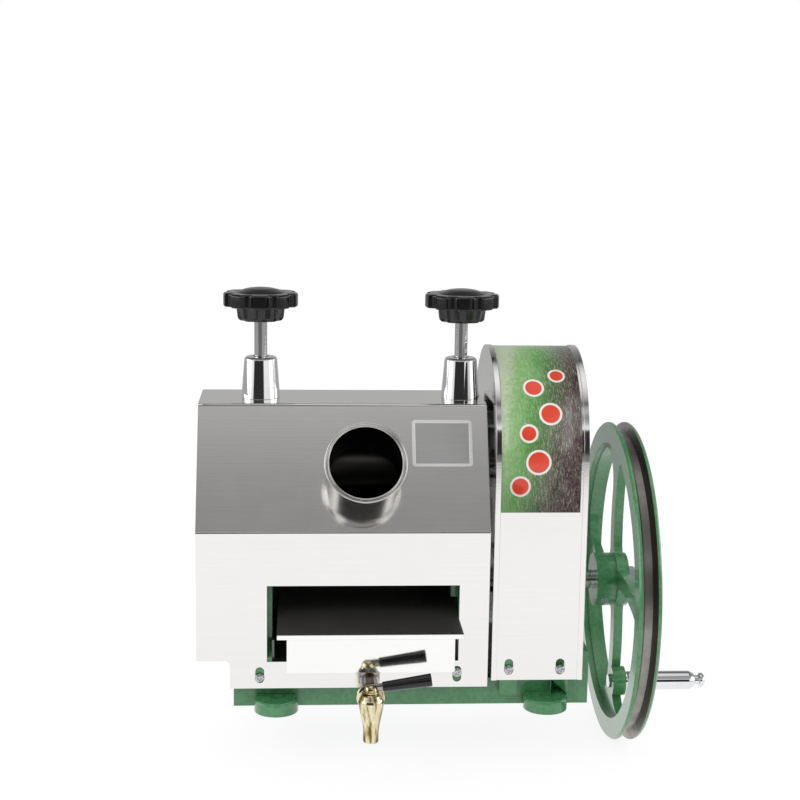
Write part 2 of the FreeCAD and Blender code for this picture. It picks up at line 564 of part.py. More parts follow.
def rear_cover():
    gauge = d("sheet_gauge")
    lap = "(dims.hood_height - %s)" % gauge
    lap_edge = "(%s + %s * %s / %s)" % (HOOD_EDGE, gauge, SLOPE_RUN, SLOPE_RISE)
    sheet = prism("rear_sheet", [
        (20, lap), (lap_edge, lap), (FACE, d("fold_height")), (FACE, d("casing_bottom")),
        (INNER_FACE, d("casing_bottom")), (INNER_FACE, "dims.fold_height - %s" % FOLD_SHIFT),
        ("%s - %s" % (lap_edge, TOP_SHIFT), "%s - %s" % (lap, gauge)), (20, "%s - %s" % (lap, gauge))],
        CASING_LEFT, CASING_RIGHT)
    near, far = "%s - 5" % FACE, "%s + 5" % FACE
    outlet = box("outlet_cutter", ("-dims.chute_left - 0.3", "dims.chute_right + 0.3"),
                 ("%s - 50" % FACE, "%s + 5" % FACE), ("dims.fold_height + 4", "dims.fold_height + 58"))
    tools = [outlet, notch_cutter("rear_notch", near, far)]
    for tag, x, z in cover_screw_places():
        tools.append(slot_cutter("rear_slot_" + tag, x, d("cover_slot_height"), near, far))
    sub_part("rear_cover", cut("rear_cover", sheet, *tools))


def left_end_cover():
    """A shallow pan that closes the gear end of the casing."""
    gauge = d("sheet_gauge")
    top = "(dims.hood_height - 2 * %s)" % gauge

    def pan_outline(inset):
        side = "(%s - %s)" % (INNER_FACE, inset)
        edge = "(%s + 2 * %s * %s / %s - %s * 1.2 - %s)" % (
            HOOD_EDGE, gauge, SLOPE_RUN, SLOPE_RISE, gauge, inset)
        return mirrored_corners([(side, "dims.notch_height + %s" % inset),
                                 (side, "dims.fold_height - %s - %s / 3" % (FOLD_SHIFT, inset)),
                                 (edge, "%s - %s" % (top, inset))])

    solid = prism("pan_solid", pan_outline("0"), CASING_LEFT, "%s + 12" % CASING_LEFT)
    hollow = prism("pan_hollow", pan_outline(gauge), "%s + %s" % (CASING_LEFT, gauge), "%s + 13" % CASING_LEFT)
    sub_part("left_end_cover", cut("left_end_cover", solid, hollow))


def slope_tilt():
    """The turn about X that points Z out of the front slope."""
    return 90 - amount(SLOPE_LEAN)


def feed_tube():
    outer = d("tube_radius")
    inner = "(dims.tube_radius - dims.tube_wall)"
    end = d("tube_length")
    tube = turned("feed_tube", "z", [
        ("-dims.tube_inside", inner), ("-dims.tube_inside", outer), ("%s - 5" % end, outer),
        ("%s - 3.5" % end, "%s - 0.8" % TUBE_LIP), ("%s - 2" % end, TUBE_LIP),
        ("%s - 0.6" % end, "%s - 0.6" % TUBE_LIP), (end, "%s - 2" % TUBE_LIP), (end, inner)])
    tube.Placement = FreeCAD.Placement(Vector(), FreeCAD.Rotation(Vector(1, 0, 0), slope_tilt()))
    y, z = slope_frame(d("tube_up_slope"), 0)
    place(tube, minus(d("tube_x")), y, z)
    sub_part("feed_tube", tube)


def label_plate():
    plate = doc.addObject("Part::Box", "label_plate")
    bind(plate, "Length", d("label_width"))
    bind(plate, "Width", d("label_height"))
    bind(plate, "Height", d("label_thickness"))
    plate.Placement = FreeCAD.Placement(Vector(), FreeCAD.Rotation(Vector(1, 0, 0), slope_tilt()))
    y, z = slope_frame("(dims.label_up_slope - dims.label_height / 2)", 0)
    place(plate, "dims.label_x - dims.label_width / 2", y, z)
    sub_part("label_plate", plate)


def screw_cones():
    """The tapered sleeves on the hood that the pressure screws pass through."""
    top = "dims.cone_height"
    cones = [turned("cone_" + tag, "z", [
        (0, "dims.screw_radius + 1"), (0, d("cone_base_radius")), ("%s - 2" % top, d("cone_top_radius")),
        (top, "dims.cone_top_radius - 2"), (top, "dims.screw_radius + 1")], x=x, z=d("hood_height"))
        for tag, x in (("left", LEFT_CHEEK), ("right", RIGHT_CHEEK))]
    sub_part("screw_cones", group("screw_cones", *cones))


def bagasse_chute():
    """The open channel that leads the pressed cane out of the rear slope."""
    gauge = d("sheet_gauge")
    fall = "((dims.chute_start - dims.chute_drop) / (dims.chute_reach + dims.chute_inside))"
    exit_y = "(%s - 9)" % FACE
    low_in, low_out = "(dims.chute_start - %s)" % gauge, "(dims.chute_drop - %s)" % gauge
    high = "(dims.chute_start + 36)"
    outer = prism("chute_solid", [
        (CHUTE_INNER, low_in), (CHUTE_END, low_out),
        (CHUTE_END, "dims.chute_drop + dims.chute_wall"), (exit_y, high), (CHUTE_INNER, high)],
        minus(d("chute_left")), d("chute_right"))
    hollow = prism("chute_hollow", [
        ("%s - 1" % CHUTE_INNER, "dims.chute_start + %s" % fall), ("%s + 1" % CHUTE_END, "dims.chute_drop - %s" % fall),
        ("%s + 1" % CHUTE_END, "%s + 1" % high), ("%s - 1" % CHUTE_INNER, "%s + 1" % high)],
        "%s - dims.chute_left" % gauge, "dims.chute_right - %s" % gauge)
    lip = "(dims.chute_start - %s * dims.chute_inside - %s)" % (fall, gauge)
    flange = box("chute_flange", (minus(d("chute_left")), d("chute_right")), (FACE, "%s + %s" % (FACE, gauge)),
                 ("dims.fold_height - 26", "%s + 0.4" % lip))
    sub_part("bagasse_chute", join("bagasse_chute", cut("chute_channel", outer, hollow), flange))


# Gear cover

def arch(name, start, end, radius):
    """A solid with upright sides and a round top, across the depth of the machine."""
    legs = box(name + "_legs", (start, end), (minus(radius), radius), (d("gear_case_bottom"), d("arch_height")))
    crown = rod(name + "_crown", "x", start, end, radius, z=d("arch_height"))
    return join(name, legs, crown)


def gear_cover():
    gauge = d("sheet_gauge")
    left_face = "(%s + %s)" % (CASE_LEFT, gauge)
    right_face = "(%s - %s)" % (CASE_RIGHT, gauge)
    solid = arch("band_solid", left_face, right_face, BAND_RADIUS)
    tools = [arch("band_hollow", "%s - 1" % left_face, "%s + 1" % right_face, BAND_INNER),
             box("band_foot", ("%s - 1" % left_face, "%s + 1" % right_face), ("-%s" % BAND_INNER, BAND_INNER),
                 ("dims.gear_case_bottom - 1", "dims.gear_case_bottom + 1"))]
    for tag, x in (("left", d("gear_slot_left")), ("right", d("gear_slot_right"))):
        tools.append(slot_cutter("gear_slot_%s_front" % tag, x, d("gear_slot_height"), "-%s - 1" % BAND_RADIUS, "5 - %s" % BAND_RADIUS))
        tools.append(slot_cutter("gear_slot_%s_rear" % tag, x, d("gear_slot_height"), "%s - 5" % BAND_RADIUS, "%s + 1" % BAND_RADIUS))
    sub_part("gear_cover_band", cut("gear_cover_band", solid, *tools))
    shaft_holes = {
        "left": [rod("main_shaft_hole", "x", "%s - 1" % CASE_LEFT, "%s + 1" % left_face,
                     "dims.journal_radius + dims.lift + 2", z="%s + dims.lift / 2" % TOP_AXIS),
                 rod("drive_hole_left", "x", "%s - 1" % CASE_LEFT, "%s + 1" % left_face, "dims.drive_radius + 1.5",
                     z=DRIVE_AXIS)],
        "right": [rod("drive_hole_right", "x", "%s - 1" % right_face, "%s + 1" % CASE_RIGHT,
                      "dims.wheel_seat_radius + 1.5", z=DRIVE_AXIS)],
    }
    for tag, start, end, in_start, in_end in (
            ("left", CASE_LEFT, "(%s + dims.gear_case_rim)" % CASE_LEFT,
             left_face, "(%s + dims.gear_case_rim + 1)" % CASE_LEFT),
            ("right", "(%s - dims.gear_case_rim)" % CASE_RIGHT, CASE_RIGHT,
             "(%s - dims.gear_case_rim - 1)" % CASE_RIGHT, right_face)):
        shell = arch("plate_solid_" + tag, start, end, d("arch_radius"))
        hollow = arch("plate_hollow_" + tag, in_start, in_end, BAND_RADIUS)
        foot = box("plate_foot_" + tag, (in_start, in_end), ("-%s" % BAND_RADIUS, BAND_RADIUS),
                   ("dims.gear_case_bottom - 1", "dims.gear_case_bottom + 1"))
        sub_part("gear_cover_%s_plate" % tag,
                 cut("gear_cover_%s_plate" % tag, shell, hollow, foot, *shaft_holes[tag]))


def cover_screws():
    """Pan-head screws through the slots of the casing and the gear cover."""
    places = [("case_" + tag, x, z, FACE) for tag, x, z in cover_screw_places()]
    places += [("gear_%d" % index, x, "(dims.gear_slot_height - 2.5)", BAND_RADIUS)
               for index, x in enumerate((d("gear_slot_left"), d("gear_slot_right")))]
    screws = []
    for tag, x, z, face in places:
        for side, head, shank in (("front", ("-%s - 2.6" % face, minus(face)), (minus(face), "9 - %s" % face)),
                                  ("rear", (face, "%s + 2.6" % face), ("%s - 9" % face, face))):
            cap = rod("pan_%s_%s" % (tag, side), "y", head[0], head[1], 4.5, x=x, z=z)
            stem = rod("stem_%s_%s" % (tag, side), "y", shank[0], shank[1], 2.5, x=x, z=z)
            screws.append(join("screw_%s_%s" % (tag, side), cap, stem))
    sub_part("cover_screws", group("cover_screws", *screws))


# Gears, rollers and shafts

def involute(angle):
    return math.tan(angle) - angle


def gear(name, teeth, module, backlash, start, end, turn, y="0", z="0"):
    """A spur gear along X; one tooth gap is pocketed and then patterned round the blank."""
    count = int(amount(teeth))
    size = amount(module)
    pitch = count * size / 2
    tip = pitch + size * amount(d("addendum_share"))
    root = pitch - size * amount(d("dedendum_share"))
    pressure = math.radians(amount(d("pressure_angle")))
    base = pitch * math.cos(pressure)
    half_gap = math.pi / (2 * count) + amount(backlash) / (4 * pitch)

    def gap_angle(radius):
        if radius <= base:
            return half_gap - involute(pressure)
        return half_gap - involute(pressure) + involute(math.acos(base / radius))

    body = doc.addObject("PartDesign::Body", name)
    blank = attached_sketch(body, name + "_blank", "YZ_Plane")
    blank.addGeometry(Part.Circle(Vector(), Vector(0, 0, 1), tip), False)
    blank.addConstraint(Sketcher.Constraint("Coincident", 0, 3, -1, 1))
    blank.addConstraint(Sketcher.Constraint("Radius", 0, tip))
    bind(blank, "Constraints[1]", "%s * %s / 2 + %s * dims.addendum_share" % (teeth, module, module))
    pad = body.newObject("PartDesign::Pad", name + "_pad")
    pad.Profile = blank
    bind(pad, "Length", "(%s) - (%s)" % (end, start))
    doc.recompute()

    steps = 6
    inner = max(base, root)
    radii = [root] if root < base else []
    radii += [inner + (tip - inner) * index / (steps - 1) for index in range(steps)]
    flank = [(radius, gap_angle(radius)) for radius in radii]
    flank.append(((tip + 1) / math.cos(gap_angle(tip)), gap_angle(tip)))
    corners = [(radius, -angle) for radius, angle in reversed(flank)] + flank
    spots = [Vector(radius * math.cos(angle), radius * math.sin(angle), 0) for radius, angle in corners]
    gap = attached_sketch(body, name + "_gap", "YZ_Plane")
    for index, spot in enumerate(spots):
        gap.addGeometry(Part.LineSegment(spot, spots[(index + 1) % len(spots)]), False)
    pocket = body.newObject("PartDesign::Pocket", name + "_pocket")
    pocket.Profile = gap
    pocket.Type = "ThroughAll"
    pocket.Reversed = True
    pattern = body.newObject("PartDesign::PolarPattern", name + "_teeth")
    pattern.Originals = [pocket]
    pattern.Axis = (origin_part(body, "X_Axis"), [""])
    pattern.Angle = 360
    pattern.Occurrences = count
    body.Tip = pattern
    body.Placement = FreeCAD.Placement(Vector(), FreeCAD.Rotation(Vector(1, 0, 0), turn))
    return place(body, start, y, z)


def mesh_turns():
    """How far each gear is turned so that every tooth stands in a gap."""
    rise = amount(TOP_AXIS) - amount(d("lower_axis_height"))
    reach = amount(LOWER_Y)
    count = int(amount(d("roller_teeth")))
    pitch = 360 / count
    to_front = 180 + math.degrees(math.atan2(rise, reach))
    to_rear = -math.degrees(math.atan2(rise, reach))
    top = to_front
    front = to_front - 180 + pitch / 2
    offset = (top - to_rear) % pitch
    rear = to_rear + 180 - offset + pitch / 2
    main = -90
    pinion = 90 + 180 / amount(d("pinion_teeth"))
    return {"top": top, "front": front, "rear": rear, "main": main, "pinion": pinion}


def roller(name, y, z):
    """A steel roller sleeve, bored for its shaft."""
    start = "(%s + dims.roller_end_gap)" % LEFT_INNER
    end = "(%s - dims.roller_end_gap)" % RIGHT_INNER
    edge = "(dims.roller_radius - 1.5)"
    body = turned(name, "x", [
        (start, d("journal_radius")), (end, d("journal_radius")), (end, edge),
        ("%s - 1.5" % end, d("roller_radius")), ("%s + 1.5" % start, d("roller_radius")), (start, edge)], y=y, z=z)
    sub_part(name, body)


def key_box(name, start, end, seat_radius, z, y="0"):
    """A parallel key on top of a shaft."""
    half = "(dims.key_width / 2)"
    return box(name, (start, end), ("%s - %s" % (y, half), "%s + %s" % (y, half)),
               ("%s + %s - dims.key_depth" % (z, seat_radius), "%s + %s + dims.key_depth" % (z, seat_radius)))


def roller_gear_parts(tag, y, z, turn, shaft_right):
    """Shaft, gear and key of one roller; only the top shaft runs on to the main gear."""
    left = "-dims.roller_gear_left"
    right = "(dims.roller_gear_width - dims.roller_gear_left)"
    seat, journal = d("gear_seat_radius"), d("journal_radius")
    corners = [("%s - 4" % left, 0), ("%s - 4" % left, "%s - 1" % seat), ("%s - 3" % left, seat), (right, seat),
               (right, journal)] + shaft_right
    shaft = turned("turned_%s_shaft" % tag, "x", corners, y=y, z=z)
    blank = gear("%s_gear_blank" % tag, d("roller_teeth"), d("roller_module"), d("roller_backlash"), left, right, turn, y, z)
    bore = rod("%s_gear_bore" % tag, "x", "%s - 1" % left, "%s + 1" % right, seat, y=y, z=z)
    cutters = [key_box("%s_keyway_%d" % (tag, index), left, right, seat, z, y) for index in range(2)]
    sub_part("%s_roller_gear" % tag, cut("%s_roller_gear" % tag, blank, bore, cutters[0]))
    key = key_box("%s_gear_key" % tag, left, right, seat, z, y)
    return shaft, cutters[1], key


def rollers():
    turn = mesh_turns()
    lower_z = d("lower_axis_height")
    stop = "(%s - 2)" % RIGHT_OUTER
    journal = d("journal_radius")
    for tag, y in (("front", minus(LOWER_Y)), ("rear", LOWER_Y)):
        roller(tag + "_roller", y, lower_z)
        end = [("%s - 1" % stop, journal), (stop, "%s - 1" % journal), (stop, 0)]
        shaft, keyway, key = roller_gear_parts(tag, y, lower_z, turn[tag], end)
        sub_part(tag + "_roller_shaft", cut(tag + "_roller_shaft", shaft, keyway))
        sub_part(tag + "_gear_key", key)
    roller("top_roller", "0", TOP_AXIS)
    seat = d("main_seat_radius")
    start = d("main_gear_left")
    thread = 10
    end = [(start, journal), (start, seat), ("%s + 2" % GEAR_RIGHT, seat), ("%s + 2" % GEAR_RIGHT, thread),
           ("%s + 17" % GEAR_RIGHT, thread), ("%s + 18" % GEAR_RIGHT, thread - 1), ("%s + 18" % GEAR_RIGHT, 0)]
    shaft, keyway, key = roller_gear_parts("top", "0", TOP_AXIS, turn["top"], end)
    main_keyway = key_box("main_keyway_shaft", start, GEAR_RIGHT, seat, TOP_AXIS)
    sub_part("top_roller_shaft", cut("top_roller_shaft", shaft, keyway, main_keyway))
    main_key = key_box("main_gear_key", start, GEAR_RIGHT, seat, TOP_AXIS)
    sub_part("top_shaft_keys", group("top_shaft_keys", key, main_key))
    blank = gear("main_gear_blank", d("main_teeth"), d("drive_module"), d("drive_backlash"), start, GEAR_RIGHT, turn["main"], "0", TOP_AXIS)
    bore = rod("main_gear_bore", "x", "%s - 1" % start, "%s + 1" % GEAR_RIGHT, seat, z=TOP_AXIS)
    recesses = [ring("main_recess_%d" % index, low, high, 72, 26, z=TOP_AXIS)
                for index, (low, high) in enumerate((("%s - 1" % start, "%s + 6" % start),
                                                     ("%s - 6" % GEAR_RIGHT, "%s + 1" % GEAR_RIGHT)))]
    sub_part("main_gear", cut("main_gear", blank, bore, key_box("main_keyway_gear", start, GEAR_RIGHT, seat, TOP_AXIS),
                              *recesses))
    washer_end = "%s + 4.5" % GEAR_RIGHT
    washer = ring("main_washer", GEAR_RIGHT, "%s + 2" % GEAR_RIGHT, 20, "%s + 0.2" % seat, z=TOP_AXIS)
    plate = ring("main_plate", "%s + 2" % GEAR_RIGHT, washer_end, 20, thread, z=TOP_AXIS)
    nut = cut("main_nut_hex", hexagon("main_nut_blank", "x", washer_end, "%s + 10" % washer_end, 15, z=TOP_AXIS),
              rod("main_nut_bore", "x", "%s - 1" % washer_end, "%s + 11" % washer_end, thread, z=TOP_AXIS))
    sub_part("main_gear_nut", group("main_gear_nut", join("main_washer_stack", washer, plate), nut))


def drive_line():
    """Drive shaft, its pinion, keys, and the washer and nut that hold the wheel."""
    pinion_left = "(dims.main_gear_left - dims.pinion_overhang)"
    pinion_right = "(%s + dims.pinion_overhang)" % GEAR_RIGHT
    drive, middle, seat, thread = d("drive_radius"), d("bracket_radius"), d("wheel_seat_radius"), d("thread_radius")
    bracket_right = "(dims.bracket_left + dims.bracket_width)"
    left, right = d("drive_shaft_left"), d("drive_shaft_right")
    washer_end = "(dims.hub_right + 2.5)"
    shaft = turned("turned_drive_shaft", "x", [
        (left, 0), (left, "%s - 1" % drive), ("%s + 1" % left, drive), (pinion_right, drive),
        (pinion_right, "%s + 3" % drive), ("%s + 4" % pinion_right, "%s + 3" % drive),
        ("%s + 4" % pinion_right, drive), (d("bracket_left"), drive), (d("bracket_left"), middle),
        ("%s + 1" % bracket_right, middle), ("%s + 1" % bracket_right, seat), (d("hub_right"), seat),
        (d("hub_right"), thread), ("%s - 1" % right, thread), (right, "%s - 1" % thread), (right, 0)], z=DRIVE_AXIS)
    hub = (d("hub_left"), d("hub_right"))
    pinion = (pinion_left, pinion_right)
    keyways = [key_box("pinion_keyway_shaft", pinion[0], pinion[1], drive, DRIVE_AXIS),
               key_box("wheel_keyway_shaft", hub[0], hub[1], seat, DRIVE_AXIS)]
    sub_part("drive_shaft", cut("drive_shaft", shaft, *keyways))
    sub_part("drive_keys", group("drive_keys", key_box("pinion_key", pinion[0], pinion[1], drive, DRIVE_AXIS),
                                 key_box("wheel_key", hub[0], hub[1], seat, DRIVE_AXIS)))
    blank = gear("pinion_blank", d("pinion_teeth"), d("drive_module"), d("drive_backlash"), pinion[0], pinion[1],
                 mesh_turns()["pinion"], "0", DRIVE_AXIS)
    bore = rod("pinion_bore", "x", "%s - 1" % pinion[0], "%s + 1" % pinion[1], drive, z=DRIVE_AXIS)
    sub_part("drive_pinion", cut("drive_pinion", blank, bore,
                                 key_box("pinion_keyway", pinion[0], pinion[1], drive, DRIVE_AXIS)))
    sub_part("wheel_washer", ring("wheel_washer", d("hub_right"), washer_end, 14, thread, z=DRIVE_AXIS))
    nut = hexagon("wheel_nut_blank", "x", washer_end, "%s + 8" % washer_end, 11, z=DRIVE_AXIS)
    nut_bore = rod("wheel_nut_bore", "x", "%s - 1" % washer_end, "%s + 9" % washer_end, thread, z=DRIVE_AXIS)
    sub_part("wheel_nut", cut("wheel_nut", nut, nut_bore))


# Crank wheel and handle

def spoke_angle(radius):
    """Degrees from upright, towards the feed side, of the middle of the first curved spoke."""
    return -14 + 18 * (radius - 25) / 105


def wheel_window(body):
    """The sketch of one gap between two spokes: two round ends and two curved sides."""
    inner = amount(d("hub_radius")) + 2
    outer = amount(d("wheel_radius")) - amount(d("rim_depth")) - 2
    half = amount(d("spoke_half_width"))

    def spot(radius, side):
        spread = math.degrees(math.asin(half / radius))
        angle = spoke_angle(radius) + (spread if side == 0 else 90 - spread)
        turn = math.radians(angle)
        return Vector(-radius * math.sin(turn), radius * math.cos(turn), 0)

    def middle_of(radius):
        turn = math.radians(spoke_angle(radius) + 45)
        return Vector(-radius * math.sin(turn), radius * math.cos(turn), 0)

    middle = (inner + outer) / 2
    sketch = attached_sketch(body, "wheel_window", "YZ_Plane")
    for start, through, end in ((spot(inner, 0), spot(middle, 0), spot(outer, 0)),
                                (spot(outer, 0), middle_of(outer), spot(outer, 1)),
                                (spot(outer, 1), spot(middle, 1), spot(inner, 1)),
                                (spot(inner, 1), middle_of(inner), spot(inner, 0))):
        sketch.addGeometry(Part.Arc(start, through, end), False)
    return sketch, inner, outer


def window_edges(shape, radius):
    """The edges along X at one radius, where a window's corners are rounded."""
    thickness = amount(d("spoke_thickness"))
    names = []
    for index, edge in enumerate(shape.Edges, start=1):
        if len(edge.Vertexes) != 2 or abs(edge.Length - thickness) > 0.01:
            continue
        low, high = edge.Vertexes[0].Point, edge.Vertexes[1].Point
        if abs(abs(low.x - high.x) - thickness) < 0.01 and abs(math.hypot(low.y, low.z) - radius) < 0.05:
            names.append("Edge%d" % index)
    return names


def crank_wheel():
    half_rim = "(dims.rim_width / 2)"
    half_web = "(dims.spoke_thickness / 2)"
    left, right = "(dims.wheel_centre - %s)" % half_rim, "(dims.wheel_centre + %s)" % half_rim
    web_left, web_right = "(dims.wheel_centre - %s)" % half_web, "(dims.wheel_centre + %s)" % half_web
    rim_inner = "(dims.wheel_radius - dims.rim_depth)"
    seat, hub, rim = d("wheel_seat_radius"), d("hub_radius"), d("wheel_radius")
    floor = "(dims.wheel_radius - dims.groove_depth)"
    body = turned("wheel_body", "x", [
        (d("hub_left"), seat), (d("hub_right"), seat), (d("hub_right"), hub), (web_right, hub),
        (web_right, rim_inner), (right, rim_inner), (right, "%s - 1.5" % rim), ("%s - 1.5" % right, rim),
        ("dims.wheel_centre + dims.groove_width / 2", rim), ("dims.wheel_centre + dims.groove_floor / 2", floor),
        ("dims.wheel_centre - dims.groove_floor / 2", floor), ("dims.wheel_centre - dims.groove_width / 2", rim),
        ("%s + 1.5" % left, rim), (left, "%s - 1.5" % rim), (left, rim_inner), (web_left, rim_inner),
        (web_left, hub), (d("hub_left"), hub)], z=DRIVE_AXIS)
    sketch, inner, outer = wheel_window(body)
    pocket = body.newObject("PartDesign::Pocket", "wheel_pocket")
    pocket.Profile = sketch
    pocket.Type = "ThroughAll"
    pocket.Reversed = True
    pattern = body.newObject("PartDesign::PolarPattern", "wheel_windows")
    pattern.Originals = [pocket]
    pattern.Axis = (origin_part(body, "X_Axis"), [""])
    pattern.Angle = 360
    pattern.Occurrences = 4
    body.Tip = pattern
    doc.recompute()
    base = pattern
    for name, radius, fillet_radius in (("rim_fillet", outer, 30), ("hub_fillet", inner, 9)):
        fillet = body.newObject("PartDesign::Fillet", name)
        fillet.Base = (base, window_edges(base.Shape, radius))
        fillet.Radius = fillet_radius
        body.Tip = fillet
        doc.recompute()
        base = fillet
    crank_y = minus(d("crank_forward"))
    boss = rod("crank_boss", "x", "dims.wheel_centre - 6", "dims.wheel_centre + 6.5", d("crank_boss_radius"),
               y=crank_y, z=CRANK_Z)
    spindle_hole = rod("spindle_hole", "x", "dims.wheel_centre - 20", "dims.wheel_centre + 20", d("spindle_radius"),
                       y=crank_y, z=CRANK_Z)
    keyway = key_box("wheel_keyway", d("hub_left"), d("hub_right"), seat, DRIVE_AXIS)
    set_hole = set_screw_rod("set_screw_hole", 3)
    bored = cut("bored_wheel", join("wheel_solid", body, boss), spindle_hole)
    sub_part("crank_wheel", cut("crank_wheel", cut("keyed_wheel", bored, keyway), set_hole))
    sub_part("wheel_set_screw", set_screw_rod("wheel_set_screw", 0.5))


def set_screw_rod(name, proud):
    """The set screw in the hub, pointing at the shaft from below the feed side."""
    screw = doc.addObject("Part::Cylinder", name)
    screw.Placement = FreeCAD.Placement(Vector(), FreeCAD.Rotation(Vector(1, 0, 0), 125))
    bind(screw, "Radius", 4)
    bind(screw, "Height", "dims.hub_radius - dims.wheel_seat_radius + %s" % proud)
    return place(screw, "dims.hub_left + 8", "-dims.wheel_seat_radius * sin(125)",
                 "%s + dims.wheel_seat_radius * cos(125)" % DRIVE_AXIS)


def crank_handle():
    y = minus(d("crank_forward"))
    spindle, grip, end = d("spindle_radius"), d("handle_radius"), d("handle_end")
    back = "(dims.wheel_centre - 6)"
    front = "(dims.wheel_centre + 6.5)"
    sub_part("handle_spindle", turned("handle_spindle", "x", [
        ("%s - 3" % back, 0), ("%s - 3" % back, 6.5), ("%s - 1.5" % back, 8), (back, 8), (back, spindle),
        (front, spindle), (front, grip), ("%s + 3" % front, grip), ("%s + 3" % front, spindle),
        ("%s - 11" % end, spindle), ("%s - 11" % end, 4.6), ("%s - 6" % end, 4.6), ("%s - 5" % end, 7),
        ("%s - 2.5" % end, 7), ("%s - 0.8" % end, 5.8), (end, 3.5), (end, 0)], y=y, z=CRANK_Z))
    bore = "(%s + dims.running_clearance)" % spindle
    start = "(%s + 3.3)" % front
    sub_part("handle_grip", turned("handle_grip", "x", [
        (start, bore), (start, grip), ("%s - 14.5" % end, grip), ("%s - 11" % end, 6.4),
        ("%s - 11" % end, bore)], y=y, z=CRANK_Z))


# Pressure screws and knobs

def pressure_screws():
    for tag, x in (("left", LEFT_CHEEK), ("right", RIGHT_CHEEK)):
        radius = d("screw_radius")
        sub_part(tag + "_pressure_screw", turned(tag + "_pressure_screw", "z", [
            (BLOCK_TOP, 0), (BLOCK_TOP, "%s - 1.5" % radius), ("%s + 1.5" % BLOCK_TOP, radius),
            ("%s + 6" % KNOB_RIM_BOTTOM, radius), ("%s + 6" % KNOB_RIM_BOTTOM, 0)], x=x))
        hub, rim = d("knob_hub_radius"), d("knob_radius")
        solid = turned("knob_solid_" + tag, "z", [
            (KNOB_BOTTOM, radius), (KNOB_BOTTOM, "%s - 2" % hub), ("%s + 2" % KNOB_BOTTOM, hub),
            (KNOB_RIM_BOTTOM, "%s + 0.5" % hub), (KNOB_RIM_BOTTOM, "%s - 1" % rim),
            ("%s + 1" % KNOB_RIM_BOTTOM, rim), ("%s - 2" % KNOB_RIM_TOP, rim), (KNOB_RIM_TOP, "%s - 2" % rim),
            (KNOB_RIM_TOP, "%s - 10" % rim), ("%s - 1.5" % KNOB_TOP, "%s - 20" % rim), (KNOB_TOP, 6),
            (KNOB_TOP, 0), ("%s + 6" % KNOB_RIM_BOTTOM, 0), ("%s + 6" % KNOB_RIM_BOTTOM, radius)], x=x)
        lobes = int(amount(d("knob_lobes")))
        scallops = []
        for index in range(lobes):
            turn = 360 * (index + 0.5) / lobes
            scallops.append(rod("scallop_%s_%d" % (tag, index), "z", "%s - 0.01" % KNOB_RIM_BOTTOM, "%s + 1" % KNOB_TOP, 6.5,
                                x="%s + (%s + 2.5) * sin(%s)" % (x, rim, turn),
                                y="-(%s + 2.5) * cos(%s)" % (rim, turn)))
        sub_part(tag + "_knob", cut(tag + "_knob", solid, *scallops))


# Juice drawer, strainer tray and tap

def drawer():
    wall = DRAWER_WALL
    left, right = minus(d("drawer_left")), d("drawer_right")
    front, back = minus(DRAWER_FRONT), d("drawer_back")
    bottom, top = d("drawer_bottom"), d("drawer_top")
    solid = box("drawer_solid", (left, right), (front, back), (bottom, top))
    hollow = box("drawer_hollow", ("%s + %s" % (left, wall), "%s - %s" % (right, wall)),
                 ("%s + %s" % (front, wall), "%s - %s" % (back, wall)), ("%s + %s" % (bottom, wall), "%s + 1" % top))
    x, drain_y = minus(d("tap_x")), minus(DRAIN_Y)
    drain = rod("drain_hole", "z", "%s - 1" % bottom, "%s + 3" % bottom, d("pipe_bore"), x=x, y=drain_y)
    sub_part("juice_drawer", cut("juice_drawer", solid, hollow, drain))
    pipe_z = d("pipe_height")
    shoulder = "(%s - dims.washer_thickness)" % bottom
    neck = "(dims.pipe_bore + 1.2)"
    elbow = [rod("pipe_drop", "z", pipe_z, shoulder, d("pipe_radius"), x=x, y=drain_y),
             rod("pipe_neck", "z", pipe_z, bottom, neck, x=x, y=drain_y),
             rod("pipe_run", "y", TAP_BACK, drain_y, "(%s - %s)" % (shoulder, pipe_z), x=x, z=pipe_z)]
    ball = doc.addObject("Part::Sphere", "pipe_corner")
    bind(ball, "Radius", d("pipe_radius"))
    place(ball, x, drain_y, pipe_z)
    bores = [rod("pipe_drop_bore", "z", pipe_z, "%s + 1" % bottom, d("pipe_bore"), x=x, y=drain_y),
             rod("pipe_run_bore", "y", "%s - 1" % TAP_BACK, drain_y, d("pipe_bore"), x=x, z=pipe_z)]
    corner_bore = doc.addObject("Part::Sphere", "pipe_corner_bore")
    bind(corner_bore, "Radius", d("pipe_bore"))
    place(corner_bore, x, drain_y, pipe_z)
    sub_part("outlet_pipe", cut("outlet_pipe", join("pipe_solid", ball, *elbow), corner_bore, *bores))
    collar = rod("washer_solid", "z", shoulder, bottom, d("washer_radius"), x=x, y=drain_y)
    collar_bore = rod("washer_bore", "z", "%s - 1" % shoulder, "%s + 1" % bottom, neck, x=x, y=drain_y)
    sub_part("outlet_washer", cut("outlet_washer", collar, collar_bore))


